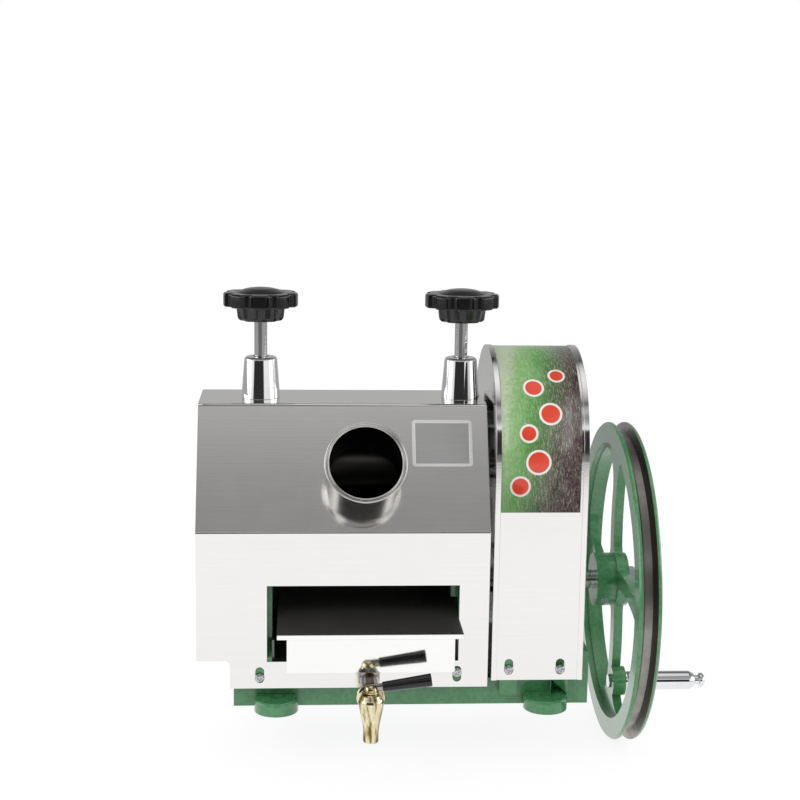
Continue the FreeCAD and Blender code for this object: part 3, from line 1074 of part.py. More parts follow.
def runners():
    """Angle strips on the cheeks that the drawer slides on."""
    gauge, reach = d("runner_gauge"), d("runner_reach")
    top = "(dims.drawer_bottom - dims.runner_gap)"
    low = "(%s - %s)" % (top, gauge)
    length = ("6 - %s" % FACE, "dims.cheek_depth / 2")
    strips = []
    for tag, face, inner, shelf in (
            ("left", LEFT_INNER, "(%s + %s)" % (LEFT_INNER, gauge), "(%s - dims.drawer_left)" % reach),
            ("right", RELIEF_FACE, "(%s - %s)" % (RELIEF_FACE, gauge), "(dims.drawer_right - %s)" % reach)):
        leg = sorted((face, inner), key=amount)
        foot = sorted((face, shelf), key=amount)
        strips.append(join("runner_" + tag, box("runner_leg_" + tag, tuple(leg), length, (low, "%s + 18" % top)),
                           box("runner_foot_" + tag, tuple(foot), length, (low, top))))
    sub_part("drawer_runners", group("drawer_runners", *strips))


def strainer_tray():
    """A flat sheet with a turned-down front lip and drain slots at its rear, on top of the drawer."""
    gauge = d("sheet_gauge")
    low = "(dims.drawer_top + dims.tray_gap)"
    left, right = minus(d("tray_left")), d("tray_right")
    plate = box("tray_plate", (left, right), (minus(TRAY_FRONT), d("tray_back")), (low, "%s + %s" % (low, gauge)))
    lip = box("tray_lip", (left, right), (minus(TRAY_FRONT), "%s - %s" % (gauge, TRAY_FRONT)),
              ("%s - 3" % low, low))
    slots = []
    for column in range(7):
        for line in range(2):
            x = "(-dims.drawer_left + (dims.drawer_left + dims.drawer_right) * %s)" % ((column + 0.5) / 7)
            y = "(dims.drawer_back - %d)" % (14 + 24 * line)
            slots.append(box("tray_slot_%d_%d" % (column, line), ("%s - 2" % x, "%s + 2" % x),
                             ("%s - 9" % y, "%s + 9" % y), ("%s - 1" % low, "%s + 3" % low)))
    sub_part("strainer_tray", cut("strainer_tray", join("tray_sheet", plate, lip), *slots))


def tap():
    x, y = minus(d("tap_x")), minus(TAP_Y)
    middle, top, bottom = d("tap_middle"), d("tap_top"), d("tap_bottom")
    plug = d("plug_radius")
    barrel = turned("tap_barrel", "z", [
        (bottom, 0), (bottom, 6.4), ("%s + 1" % bottom, 6.9), ("%s + 13" % bottom, 6.9), ("%s - 8" % middle, 10),
        ("%s - 3" % middle, 11.2), ("%s + 1" % middle, 11.2), ("%s + 5" % middle, 9.5), (top, 8), (top, 0)], x=x, y=y)
    flange = rod("tap_flange", "y", "%s - 2" % TAP_BACK, TAP_BACK, 12.5, x=x, z=middle)
    inlet = rod("tap_inlet", "y", y, "%s - 1" % TAP_BACK, 6, x=x, z="dims.pipe_height - 2")
    spout_bore = rod("spout_bore", "z", "%s - 1" % bottom, "%s - 6" % middle, 4.6, x=x, y=y)
    plug_bore = rod("plug_bore", "z", "%s - 7" % middle, "%s + 1" % top, "%s + dims.running_clearance" % plug, x=x, y=y)
    inlet_bore = rod("inlet_bore", "y", y, "%s + 1" % TAP_BACK, 3.5, x=x, z="dims.pipe_height - 2")
    sub_part("tap_body", cut("tap_body", join("tap_solid", barrel, flange, inlet), spout_bore, plug_bore, inlet_bore))
    seat = "(%s + 0.3)" % top
    spindle = turned("plug_spindle", "z", [
        ("%s - 5.5" % middle, 0), ("%s - 5.5" % middle, plug), (seat, plug), (seat, 6.5), ("%s + 3" % top, 6.5),
        ("%s + 5.5" % top, 5.4), ("%s + 7.2" % top, 3), ("%s + 7.6" % top, 0)], x=x, y=y)
    rise = amount(d("lever_rise"))
    arm = doc.addObject("Part::Cylinder", "lever_arm")
    sleeve = doc.addObject("Part::Cone", "lever_sleeve_solid")
    core = doc.addObject("Part::Cylinder", "lever_sleeve_core")
    tilt = FreeCAD.Rotation(Vector(0, 1, 0), 90 - rise)
    for piece, start, length in ((arm, 0, "dims.sleeve_length - 10"), (sleeve, 10, d("sleeve_length")),
                                 (core, 9, "dims.sleeve_length - 19")):
        piece.Placement = FreeCAD.Placement(Vector(), tilt)
        bind(piece, "Height", length)
        place(piece, "%s + %s * cos(dims.lever_rise)" % (x, start), y,
              "dims.lever_height + %s * sin(dims.lever_rise)" % start)
    bind(arm, "Radius", 2.8)
    bind(core, "Radius", 2.8)
    bind(sleeve, "Radius1", 4.2)
    bind(sleeve, "Radius2", 5.8)
    port = rod("plug_port", "x", "%s - 8" % x, x, 3.5, y=y, z="dims.pipe_height - 2")
    drop = rod("plug_drop", "z", "%s - 7" % middle, "dims.pipe_height - 2", 3.5, x=x, y=y)
    sub_part("tap_plug", cut("tap_plug", join("plug_and_arm", spindle, arm), port, drop))
    sub_part("lever_sleeve", cut("lever_sleeve", sleeve, core))


def build():
    base_casting()
    frame_bolts()
    cheek("left_cheek", LEFT_CHEEK, False)
    cheek("right_cheek", RIGHT_CHEEK, True)
    cheek_caps()
    tie_rods()
    turner_plate()
    bushes()
    bearing_blocks()
    outer_bracket()
    front_cover()
    rear_cover()
    left_end_cover()
    feed_tube()
    label_plate()
    screw_cones()
    bagasse_chute()
    gear_cover()
    cover_screws()
    rollers()
    drive_line()
    crank_wheel()
    crank_handle()
    pressure_screws()
    drawer()
    runners()
    strainer_tray()
    tap()


def check_and_write():
    """Check every object, then write each sub-part to its own file."""
    doc.recompute()
    for thing in doc.Objects:
        if "Invalid" in thing.State or "Error" in thing.State:
            raise RuntimeError("%s did not rebuild: %s" % (thing.Name, thing.State))
        if thing.TypeId == "Part::Cut" and thing.Shape.Volume > thing.Base.Shape.Volume - 0.01:
            raise RuntimeError("%s cut nothing" % thing.Name)
        if thing.TypeId == "PartDesign::PolarPattern" and thing.Shape.Volume > thing.Originals[0].Shape.Volume - 0.01:
            raise RuntimeError("%s repeated nothing" % thing.Name)
    os.makedirs("parts", exist_ok=True)
    for name, thing in sub_parts.items():
        thing.Label = name
        if thing.Shape.isNull() or not thing.Shape.isValid() or not thing.Shape.Solids:
            raise RuntimeError("%s has no valid solid" % name)
    for name, thing in sub_parts.items():
        thing.Shape.exportStep(os.path.join("parts", name + ".step"))
        print("%-24s %3d solids %12.1f mm3" % (name, len(thing.Shape.Solids), thing.Shape.Volume))
    print(len(sub_parts), "sub-parts")


build()
check_and_write()
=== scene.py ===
import math

import bmesh
import bpy
from mathutils import Matrix, Vector


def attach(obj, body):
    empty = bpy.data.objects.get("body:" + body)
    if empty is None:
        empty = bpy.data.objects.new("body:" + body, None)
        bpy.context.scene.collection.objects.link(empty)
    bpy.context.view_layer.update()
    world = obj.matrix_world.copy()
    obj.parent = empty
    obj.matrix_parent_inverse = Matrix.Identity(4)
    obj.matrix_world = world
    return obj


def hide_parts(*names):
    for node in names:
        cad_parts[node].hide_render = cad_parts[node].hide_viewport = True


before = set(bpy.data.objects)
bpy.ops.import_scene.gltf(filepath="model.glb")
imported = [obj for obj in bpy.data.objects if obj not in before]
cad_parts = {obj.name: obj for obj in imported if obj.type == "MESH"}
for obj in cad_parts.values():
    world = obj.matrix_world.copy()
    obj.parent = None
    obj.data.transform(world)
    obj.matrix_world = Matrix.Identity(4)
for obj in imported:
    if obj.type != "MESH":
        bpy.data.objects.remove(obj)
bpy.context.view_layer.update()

# Places in millimetres, in the CAD's frame: X along the rollers to the crank wheel, -Y to the feed side, Z up.
DRIVE_AXIS = 94.749
LEFT_SCREW_X, RIGHT_SCREW_X = -139, 48
WHEEL_X = 204.2
CRANK_Y, CRANK_Z = -20, -1.251
TAP_X, TAP_Y, TAP_Z = -40, -157, 32
TUBE_FOOT = (-45, -69.68, 211.36)
FOLD, HOOD = 166, 273
FACE, HOOD_EDGE = 93, 38
SLOPE = math.hypot(FACE - HOOD_EDGE, HOOD - FOLD)
OUT_OF_SLOPE = Vector((0, -(HOOD - FOLD) / SLOPE, (FACE - HOOD_EDGE) / SLOPE))
UP_SLOPE = Vector((0, (FACE - HOOD_EDGE) / SLOPE, (HOOD - FOLD) / SLOPE))
FLOOR_Z = -57.6
LUG_X, LUG_Y, LUG_TOP, LUG_RADIUS = 123, 91, 12, 20
NOTCH_X, NOTCH_Z, NOTCH_ROUND = -165, 47, 5
SHEET, BEND = 1.2, 1.8
TUBE_BORE, TUBE_OUTSIDE = 32, 33.5
PLATE_X, PLATE_UP, PLATE_WIDE, PLATE_HIGH = 27, 83, 55, 44
GROOVE_FLOOR, GROOVE_MOUTH, GROOVE_HALF = 140, 150.8, 6.7
LEVER_Z = 44
TRAY_LIP = -90
KNOB_LOBES = 9
SCREW_TWIST = 37  # degrees from one screw's cross to the next

# The dark screen that mirrors see low in front, as X over Y from the object's middle
SCREEN_MIDDLE, SCREEN_EDGE, SCREEN_SOFT = 0.3, 0.72, 0.64


# Materials

def colour(hex_code):
    """An sRGB hex value as the linear colour that shaders take."""
    parts = [int(hex_code[i:i + 2], 16) / 255 for i in (1, 3, 5)]
    return [c / 12.92 if c <= 0.04045 else ((c + 0.055) / 1.055) ** 2.4 for c in parts] + [1]


def add(tree, kind, inputs, stops=(), **settings):
    """Add a node with its settings, values, links and, on a ramp, its colour stops."""
    node = tree.nodes.new("ShaderNode" + kind)
    for name, value in settings.items():
        setattr(node, name, value)
    for socket, value in inputs.items():
        if isinstance(value, bpy.types.NodeSocket):
            tree.links.new(value, node.inputs[socket])
        else:
            node.inputs[socket].default_value = value
    if stops:
        marks = node.color_ramp.elements
        for stop, tint in stops:
            marks.new(stop).color = tint
        for spare in (marks[-1], marks[0]):
            marks.remove(spare)
    return node


def material(name, **values):
    """A named material with one surface shader whose even values sit on its own sockets."""
    made = bpy.data.materials.new(name)
    made.use_nodes = True
    tree = made.node_tree
    tree.nodes.clear()
    shader = add(tree, "BsdfPrincipled", {socket.replace("_", " "): value for socket, value in values.items()})
    add(tree, "OutputMaterial", {"Surface": shader.outputs[0]})
    place = add(tree, "TexCoord", {})
    return made, tree, shader, place.outputs["Object"]


def wire(tree, shader, **sockets):
    """Link patterns to the surface shader's inputs."""
    for name, socket in sockets.items():
        tree.links.new(socket, shader.inputs[name.replace("_", " ")])


# Hammered green enamel on cast iron: shallow round dents about 4 mm apart under a glossy coat
hammered_enamel, tree, shader, spot = material(
    "hammered_green_enamel", Roughness=0.26, Coat_Weight=0.7, Coat_Roughness=0.09, IOR=1.5)
dents = add(tree, "TexVoronoi", {"Vector": spot, "Scale": 260, "Smoothness": 0.6}, feature="SMOOTH_F1")
grain = add(tree, "TexNoise", {"Vector": spot, "Scale": 420, "Detail": 3, "Roughness": 0.55})
patches = add(tree, "TexNoise", {"Vector": spot, "Scale": 26, "Detail": 4, "Roughness": 0.6})
mottle = add(tree, "MapRange", {"Value": dents.outputs["Distance"], "From Min": 0.1, "From Max": 0.75})
tone = add(tree, "Mix", {0: mottle.outputs[0], 6: colour("#3C7F4B"), 7: colour("#4E9160")}, data_type="RGBA")
worn = add(tree, "MapRange", {"Value": patches.outputs["Fac"], "From Min": 0.42, "From Max": 0.7, "To Max": 0.55})
green = add(tree, "Mix", {0: worn.outputs[0], 6: tone.outputs[2], 7: colour("#37753F")}, data_type="RGBA")
height = add(tree, "Mix", {0: 0.25, 2: dents.outputs["Distance"], 3: grain.outputs["Fac"]})
bump = add(tree, "Bump", {"Strength": 0.3, "Distance": 0.00025, "Height": height.outputs[0]})
wire(tree, shader, Base_Color=green.outputs[2], Normal=bump.outputs[0])


def steel_sheet(name, tint, shine, lines_along, depth, metal=1.0):
    """Rolled stainless sheet: faint parallel polishing lines, about 0.7 mm wide so that they show, and slow waves."""
    made, tree, shader, spot = material(name, Metallic=metal)
    stretch = [900, 900, 900]
    stretch[lines_along] = 9
    run = add(tree, "Mapping", {"Vector": spot, "Scale": stretch})
    lines = add(tree, "TexNoise", {"Vector": run.outputs[0], "Scale": 1.0, "Detail": 4, "Roughness": 0.7})
    waves = add(tree, "TexNoise", {"Vector": spot, "Scale": 11, "Detail": 1.5, "Roughness": 0.4})
    smears = add(tree, "TexNoise", {"Vector": spot, "Scale": 34, "Detail": 5, "Roughness": 0.62, "Distortion": 0.5})
    shades = add(tree, "Mix", {0: lines.outputs["Fac"], 6: colour(tint[0]), 7: colour(tint[1])}, data_type="RGBA")
    dull = add(tree, "MapRange", {"Value": smears.outputs["Fac"], "From Min": 0.35, "From Max": 0.75,
                                  "To Min": shine[0], "To Max": shine[1]})
    rough = add(tree, "Math", {0: lines.outputs["Fac"], 1: 0.05, 2: dull.outputs[0]}, operation="MULTIPLY_ADD")
    height = add(tree, "Mix", {0: 0.82, 2: lines.outputs["Fac"], 3: waves.outputs["Fac"]})
    bump = add(tree, "Bump", {"Strength": 0.25, "Distance": depth, "Height": height.outputs[0]})
    wire(tree, shader, Base_Color=shades.outputs[2], Roughness=rough.outputs[0], Normal=bump.outputs[0])
    return made


casing_sheet = steel_sheet("polished_stainless_sheet", ("#E8E7E5", "#F2F0EE"), (0.06, 0.11), 0, 0.0003)
drawer_sheet = steel_sheet("bright_stainless_drawer", ("#F4F4F2", "#FAFAF8"), (0.04, 0.07), 0, 0.0001)
# Inside of the feed tube: unpolished steel painted near black, a painted shade for the dark inside of the tube
painted_shade_bore_steel = steel_sheet("painted_shade_bore_steel", ("#1D1C1A", "#2B2A27"), (0.3, 0.42), 0, 0.0003)
roller_steel = steel_sheet("ground_steel_roller", ("#5E5C59", "#74726E"), (0.26, 0.36), 1, 0.0004)


def machined(name, light, dark, rough, ring_axis, depth=0.0002):
    """Turned metal: tool rings round one axis, coarser than real so that they show, and a thin uneven oil film."""
    made, tree, shader, spot = material(name, Metallic=1.0)
    stretch = [40, 40, 40]
    stretch[ring_axis] = 1500
    run = add(tree, "Mapping", {"Vector": spot, "Scale": stretch})
    rings = add(tree, "TexNoise", {"Vector": run.outputs[0], "Scale": 1.0, "Detail": 2, "Roughness": 0.5})
    film = add(tree, "TexNoise", {"Vector": spot, "Scale": 60, "Detail": 4, "Roughness": 0.6})
    shades = add(tree, "Mix", {0: film.outputs["Fac"], 6: colour(light), 7: colour(dark)}, data_type="RGBA")
    dull = add(tree, "MapRange", {"Value": film.outputs["Fac"], "From Min": 0.3, "From Max": 0.7,
                                  "To Min": rough * 0.8, "To Max": rough * 1.3})
    bump = add(tree, "Bump", {"Strength": 0.3, "Distance": depth, "Height": rings.outputs["Fac"]})
    wire(tree, shader, Base_Color=shades.outputs[2], Roughness=dull.outputs[0], Normal=bump.outputs[0])
    return made


turned_steel = machined("turned_shaft_steel", "#C4C4C4", "#A9AAAC", 0.18, 0, 0.00004)
upright_steel = machined("turned_screw_steel", "#DEDEDE", "#CCCDCE", 0.07, 2, 0.00001)
bearing_bronze = machined("sintered_bronze", "#C08A50", "#9C6C3A", 0.34, 0)
pipe_nickel = machined("nickel_plated_pipe", "#B9B5AE", "#8F8B86", 0.25, 1)
gear_iron = machined("cut_gear_iron", "#7E7C78", "#565450", 0.42, 0)

# Pale cast brass, buffed: soft upright streaks of cream and brown in its colour, partly tarnish and partly painted
# reflection of the bright and dark surroundings
tap_brass, tree, shader, spot = material("buffed_cast_brass", Metallic=1.0)
down = add(tree, "Mapping", {"Vector": spot, "Scale": (190, 190, 34)})
streak_noise = add(tree, "TexNoise", {"Vector": down.outputs[0], "Scale": 1.0, "Detail": 3, "Roughness": 0.5})
# Brown and cream upright streaks: partly tarnish, partly painted reflection
tarnish_and_painted_reflection = add(tree, "ValToRGB", {"Fac": streak_noise.outputs["Fac"]}, stops=(
    (0.36, colour("#6E5A30")), (0.43, colour("#A9976A")), (0.5, colour("#DDD0A8")), (0.6, colour("#EFE8CC")),
    (0.68, colour("#B5A475"))))
pits = add(tree, "TexNoise", {"Vector": spot, "Scale": 600, "Detail": 3, "Roughness": 0.6})
dull = add(tree, "MapRange", {"Value": streak_noise.outputs["Fac"], "From Min": 0.35, "From Max": 0.65,
                              "To Min": 0.2, "To Max": 0.09})
bump = add(tree, "Bump", {"Strength": 0.2, "Distance": 0.0001, "Height": pits.outputs["Fac"]})
wire(tree, shader, Base_Color=tarnish_and_painted_reflection.outputs[0], Roughness=dull.outputs[0], Normal=bump.outputs[0])

# Mirror chrome on the handle and the tapered sleeves: nearly perfect, with a breath of haze
mirror_chrome, tree, shader, spot = material("mirror_chrome", Metallic=1.0)
haze = add(tree, "TexNoise", {"Vector": spot, "Scale": 45, "Detail": 4, "Roughness": 0.6})
dull = add(tree, "MapRange", {"Value": haze.outputs["Fac"], "From Min": 0.4, "From Max": 0.75,
                              "To Min": 0.03, "To Max": 0.1})
tint = add(tree, "Mix", {0: haze.outputs["Fac"], 6: colour("#EDEDEE"), 7: colour("#E0E1E3")}, data_type="RGBA")
wire(tree, shader, Roughness=dull.outputs[0], Base_Color=tint.outputs[2])

# Bright zinc on fasteners: a little blue, finely mottled
bright_zinc, tree, shader, spot = material("bright_zinc", Metallic=1.0)
mottle = add(tree, "TexNoise", {"Vector": spot, "Scale": 500, "Detail": 3, "Roughness": 0.6})
tint = add(tree, "Mix", {0: mottle.outputs["Fac"], 6: colour("#D2D5D9"), 7: colour("#A8ACB2")}, data_type="RGBA")
dull = add(tree, "MapRange", {"Value": mottle.outputs["Fac"], "To Min": 0.18, "To Max": 0.36})
wire(tree, shader, Base_Color=tint.outputs[2], Roughness=dull.outputs[0])

# Compression-moulded phenolic knobs: deep black gloss with slight flow marks
black_bakelite, tree, shader, spot = material("black_bakelite", IOR=1.5, Specular_IOR_Level=0.6)
flow = add(tree, "TexNoise", {"Vector": spot, "Scale": 70, "Detail": 4, "Roughness": 0.6, "Distortion": 0.8})
tint = add(tree, "Mix", {0: flow.outputs["Fac"], 6: colour("#060607"), 7: colour("#0E0E10")}, data_type="RGBA")
dull = add(tree, "MapRange", {"Value": flow.outputs["Fac"], "From Min": 0.3, "From Max": 0.8,
                              "To Min": 0.1, "To Max": 0.2})
bump = add(tree, "Bump", {"Strength": 0.15, "Distance": 0.0004, "Height": flow.outputs["Fac"]})
wire(tree, shader, Base_Color=tint.outputs[2], Roughness=dull.outputs[0], Normal=bump.outputs[0])

# Dipped vinyl on the tap's lever: soft black with a fine orange-peel skin
black_vinyl, tree, shader, spot = material("black_dipped_vinyl", IOR=1.5)
peel = add(tree, "TexNoise", {"Vector": spot, "Scale": 700, "Detail": 2, "Roughness": 0.5})
tint = add(tree, "Mix", {0: peel.outputs["Fac"], 6: colour("#0B0B0C"), 7: colour("#17171A")}, data_type="RGBA")
bump = add(tree, "Bump", {"Strength": 0.3, "Distance": 0.0002, "Height": peel.outputs["Fac"]})
dull = add(tree, "MapRange", {"Value": peel.outputs["Fac"], "To Min": 0.14, "To Max": 0.24})
wire(tree, shader, Base_Color=tint.outputs[2], Roughness=dull.outputs[0], Normal=bump.outputs[0])

# Pressed red fibre of the sealing washer
red_fibre, tree, shader, spot = material("red_fibre", IOR=1.48)
fibres = add(tree, "TexNoise", {"Vector": spot, "Scale": 900, "Detail": 5, "Roughness": 0.75})
tint = add(tree, "Mix", {0: fibres.outputs["Fac"], 6: colour("#5B2A20"), 7: colour("#8A4A38")}, data_type="RGBA")
bump = add(tree, "Bump", {"Strength": 0.5, "Distance": 0.0002, "Height": fibres.outputs["Fac"]})
dull = add(tree, "MapRange", {"Value": fibres.outputs["Fac"], "To Min": 0.55, "To Max": 0.8})
wire(tree, shader, Base_Color=tint.outputs[2], Roughness=dull.outputs[0], Normal=bump.outputs[0])

# Lacquered aluminium of the small plate on the slope, pale at its border and satin in its field
brushed_plate = steel_sheet("lacquered_aluminium_plate", ("#DBDBDA", "#E8E8E7"), (0.24, 0.34), 0, 0.0001, 0.3)
satin_field = steel_sheet("satin_aluminium_field", ("#A9A9A8", "#B9B9B8"), (0.36, 0.46), 0, 0.0001, 0.5)

# Strainer tray painted near black and satin, with cloudy handling marks: the dark colour is painted shade, standing in
# for the dark inside of the machine that a polished tray would mirror
painted_shade_tray_finish, tree, shader, spot = material("dark_tray_painted_shade", Metallic=0.25, IOR=1.5)
marks = add(tree, "TexNoise", {"Vector": spot, "Scale": 30, "Detail": 5, "Roughness": 0.65, "Distortion": 0.4})
tint = add(tree, "Mix", {0: marks.outputs["Fac"], 6: colour("#3C3B3A"), 7: colour("#4A4947")}, data_type="RGBA")
dull = add(tree, "MapRange", {"Value": marks.outputs["Fac"], "From Min": 0.3, "From Max": 0.7,
                              "To Min": 0.26, "To Max": 0.42})
wire(tree, shader, Base_Color=tint.outputs[2], Roughness=dull.outputs[0])

# Belt groove of the wheel: enamel rubbed down to dark iron, in bands round the wheel
rubbed_groove = machined("rubbed_groove_iron", "#A29E99", "#77736F", 0.3, 0)

# Printed vinyl film: grass greens that sink to maroon along a slant, cream flecks, and red-orange discs
# with white rims; a clear gloss over all. The flecks are about 1.5 mm, coarser than print, so that they show
printed_film, tree, shader, spot = material("printed_vinyl_film", Roughness=0.22, IOR=1.5, Coat_Weight=0.3)
flat = add(tree, "TexCoord", {}).outputs["UV"]
axes = add(tree, "SeparateXYZ", {"Vector": flat})
slant = add(tree, "Math", {0: axes.outputs["Y"], 1: -0.16, 2: axes.outputs["X"]}, operation="MULTIPLY_ADD")
ragged = add(tree, "TexNoise", {"Vector": flat, "Scale": 22, "Detail": 5, "Roughness": 0.7})
edge = add(tree, "Math", {0: ragged.outputs["Fac"], 1: 0.3, 2: slant.outputs[0]}, operation="MULTIPLY_ADD")
ground = add(tree, "ValToRGB", {"Fac": edge.outputs[0]}, stops=(
    (0.02, colour("#CDD9BC")), (0.14, colour("#8DBB78")), (0.3, colour("#5C9A4C")), (0.46, colour("#4A6B40")),
    (0.6, colour("#4E3A3C")), (0.78, colour("#4A2A38"))))
lean = add(tree, "Mapping", {"Vector": flat, "Rotation": (0, 0, 0.6), "Scale": (170, 16, 1)})
blades = add(tree, "TexNoise", {"Vector": lean.outputs[0], "Scale": 1.0, "Detail": 3, "Distortion": 0.8})
glint = add(tree, "MapRange", {"Value": blades.outputs["Fac"], "From Min": 0.54, "From Max": 0.68, "To Max": 0.6})
flecks = add(tree, "TexVoronoi", {"Vector": flat, "Scale": 62})
cream = add(tree, "MapRange", {"Value": flecks.outputs["Distance"], "From Min": 0.34, "From Max": 0.2, "To Max": 0.4})
grass = add(tree, "Mix", {0: glint.outputs[0], 6: ground.outputs[0], 7: colour("#C4DCA8")}, data_type="RGBA")
scene_print = add(tree, "Mix", {0: cream.outputs[0], 6: grass.outputs[2], 7: colour("#B7AE9F")}, data_type="RGBA")
nearest = None
for across, up, radius in ((0.20, 0.24, 0.075), (0.36, 0.46, 0.095), (0.27, 0.72, 0.065), (0.47, 0.9, 0.085),
                           (0.33, 1.16, 0.075), (0.55, 1.3, 0.06)):
    gap = add(tree, "VectorMath", {0: flat, 1: (across, up, 0)}, operation="DISTANCE")
    rim = add(tree, "Math", {0: gap.outputs["Value"], 1: radius}, operation="SUBTRACT").outputs[0]
    nearest = add(tree, "Math", {0: nearest, 1: rim}, operation="MINIMUM").outputs[0] if nearest else rim
white_rim = add(tree, "MapRange", {"Value": nearest, "From Min": 0.022, "From Max": 0.018})
red_disc = add(tree, "MapRange", {"Value": nearest, "From Min": 0.002, "From Max": -0.002})
rimmed = add(tree, "Mix", {0: white_rim.outputs[0], 6: scene_print.outputs[2], 7: colour("#F2EFE8")}, data_type="RGBA")
print_ink = add(tree, "Mix", {0: red_disc.outputs[0], 6: rimmed.outputs[2], 7: colour("#E2452C")}, data_type="RGBA")
dull = add(tree, "MapRange", {"Value": ragged.outputs["Fac"], "To Min": 0.16, "To Max": 0.3})
wire(tree, shader, Base_Color=print_ink.outputs[2], Roughness=dull.outputs[0])

node_finish = {
    "base_casting": hammered_enamel, "left_cheek": hammered_enamel, "right_cheek": hammered_enamel,
    "outer_bracket": hammered_enamel, "crank_wheel": hammered_enamel,
    "cheek_caps": turned_steel, "cap_bolts": bright_zinc, "frame_bolts": bright_zinc, "tie_rods": turned_steel,
    "tie_rod_nuts": bright_zinc, "lower_roller_bushes": bearing_bronze, "drive_shaft_bushes": bearing_bronze,
    "turner_plate": roller_steel, "front_cover": casing_sheet, "rear_cover": casing_sheet,
    "left_end_cover": casing_sheet, "bagasse_chute": casing_sheet, "feed_tube": casing_sheet,
    "screw_cones": mirror_chrome, "label_plate": brushed_plate, "gear_cover_band": casing_sheet,
    "gear_cover_left_plate": casing_sheet, "gear_cover_right_plate": casing_sheet, "cover_screws": bright_zinc,
    "drawer_runners": gear_iron, "bearing_blocks": turned_steel, "top_roller_bushes": bearing_bronze,
    "top_roller": roller_steel, "front_roller": roller_steel, "rear_roller": roller_steel,
    "top_roller_shaft": turned_steel, "front_roller_shaft": turned_steel, "rear_roller_shaft": turned_steel,
    "top_roller_gear": gear_iron, "front_roller_gear": gear_iron, "rear_roller_gear": gear_iron,
    "main_gear": gear_iron, "drive_pinion": gear_iron, "top_shaft_keys": turned_steel, "front_gear_key": turned_steel,
    "rear_gear_key": turned_steel, "drive_keys": turned_steel, "drive_shaft": turned_steel,
    "main_gear_nut": bright_zinc, "wheel_set_screw": bright_zinc, "wheel_washer": bright_zinc,
    "wheel_nut": bright_zinc, "handle_spindle": mirror_chrome, "handle_grip": mirror_chrome,
    "left_pressure_screw": upright_steel, "right_pressure_screw": upright_steel,
    "left_knob": black_bakelite, "right_knob": black_bakelite, "juice_drawer": drawer_sheet,
    "outlet_pipe": pipe_nickel, "outlet_washer": red_fibre, "tap_body": tap_brass, "strainer_tray": painted_shade_tray_finish,
    "tap_plug": tap_brass, "lever_sleeve": black_vinyl,
}
for name, finish in node_finish.items():
    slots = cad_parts[name].data.materials
    slots.clear()
    slots.append(finish)


# Shaping, in millimetres

def turned(outline, way, centre, steps=96, ring=False):
    """Spin a half outline once round an axis: each point is how far along, the radius and any corner rounding."""
    work = bmesh.new()
    way = Vector(way).normalized()
    out = way.orthogonal().normalized()
    points = [work.verts.new(Vector(centre) + way * corner[0] + out * corner[1]) for corner in outline]
    for first, second in zip(points, points[1:] + points[:1] if ring else points[1:]):
        work.edges.new((first, second))
    for point, corner in zip(points, outline):
        if len(corner) > 2:
            bmesh.ops.bevel(work, geom=[point], offset=corner[2], affect="VERTICES", segments=5,
                            profile=0.5, material=-1)
    bmesh.ops.spin(work, geom=work.verts[:] + work.edges[:], cent=centre, axis=way, angle=math.tau,
                   steps=steps, use_merge=True)
    bmesh.ops.remove_doubles(work, verts=work.verts, dist=0.001)
    bmesh.ops.recalc_face_normals(work, faces=work.faces)
    return work


def joined(*shapes):
    """Several shapes as one."""
    whole = bmesh.new()
    for shape in shapes:
        spare = bpy.data.meshes.new("spare")
        shape.to_mesh(spare)
        shape.free()
        whole.from_mesh(spare)
        bpy.data.meshes.remove(spare)
    return whole


def place(name, work, finishes, body, slot, stands_for, crease=35, edge=0, steps=3):
    """Make a shape a piece on its body. Its sharp edges are softened by the width given."""
    bmesh.ops.scale(work, vec=(0.001, 0.001, 0.001), verts=work.verts)
    mesh = bpy.data.meshes.new(name)
    work.to_mesh(mesh)
    work.free()
    for finish in finishes:
        mesh.materials.append(finish)
    mesh.shade_smooth()
    mesh.set_sharp_from_angle(angle=math.radians(crease))
    made = bpy.data.objects.new(name, mesh)
    bpy.context.scene.collection.objects.link(made)
    if edge:
        softened = made.modifiers.new("softened_edges", "BEVEL")
        softened.width = edge / 1000
        softened.segments = steps
        softened.limit_method = "ANGLE"
        softened.angle_limit = math.radians(crease)
    level = made.modifiers.new("flat_faces_stay_flat", "WEIGHTED_NORMAL")
    level.keep_sharp = True
    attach(made, body)
    if stands_for:
        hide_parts(*stands_for)
    return made


def from_cad(node):
    """A merged copy of a CAD node, its flat faces whole again."""
    work = bmesh.new()
    work.from_mesh(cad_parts[node].data)
    bmesh.ops.scale(work, vec=(1000, 1000, 1000), verts=work.verts)
    bmesh.ops.remove_doubles(work, verts=work.verts, dist=0.001)
    bmesh.ops.dissolve_limit(work, angle_limit=math.radians(0.6), verts=work.verts, edges=work.edges)
    return work


def around(point, axis_x):
    """Distance and turn of a point about an upright axis, with the turn counted from the feed side."""
    return math.hypot(point.x - axis_x, point.y), math.atan2(point.x - axis_x, -point.y)


def hollowed(work, axis_x, low, high, core, outer, ring, bite):
    """Press nine even round hollows into the outside of a knob between two heights."""
    for vert in work.verts:
        radius, turn = around(vert.co, axis_x)
        if not (low <= vert.co.z <= high and radius > core):
            continue
        offset = ((turn / math.tau * KNOB_LOBES) % 1 - 0.5) * math.tau / KNOB_LOBES
        reach = bite ** 2 - (ring * math.sin(offset)) ** 2
        wall = min(outer, ring * math.cos(offset) - math.sqrt(reach)) if reach > 0 else outer
        pressed = core + (radius - core) * (wall - core) / (outer - core)
        vert.co.x = axis_x + (vert.co.x - axis_x) * pressed / radius
        vert.co.y *= pressed / radius


# Knobs and tapered sleeves of the two pressure screws

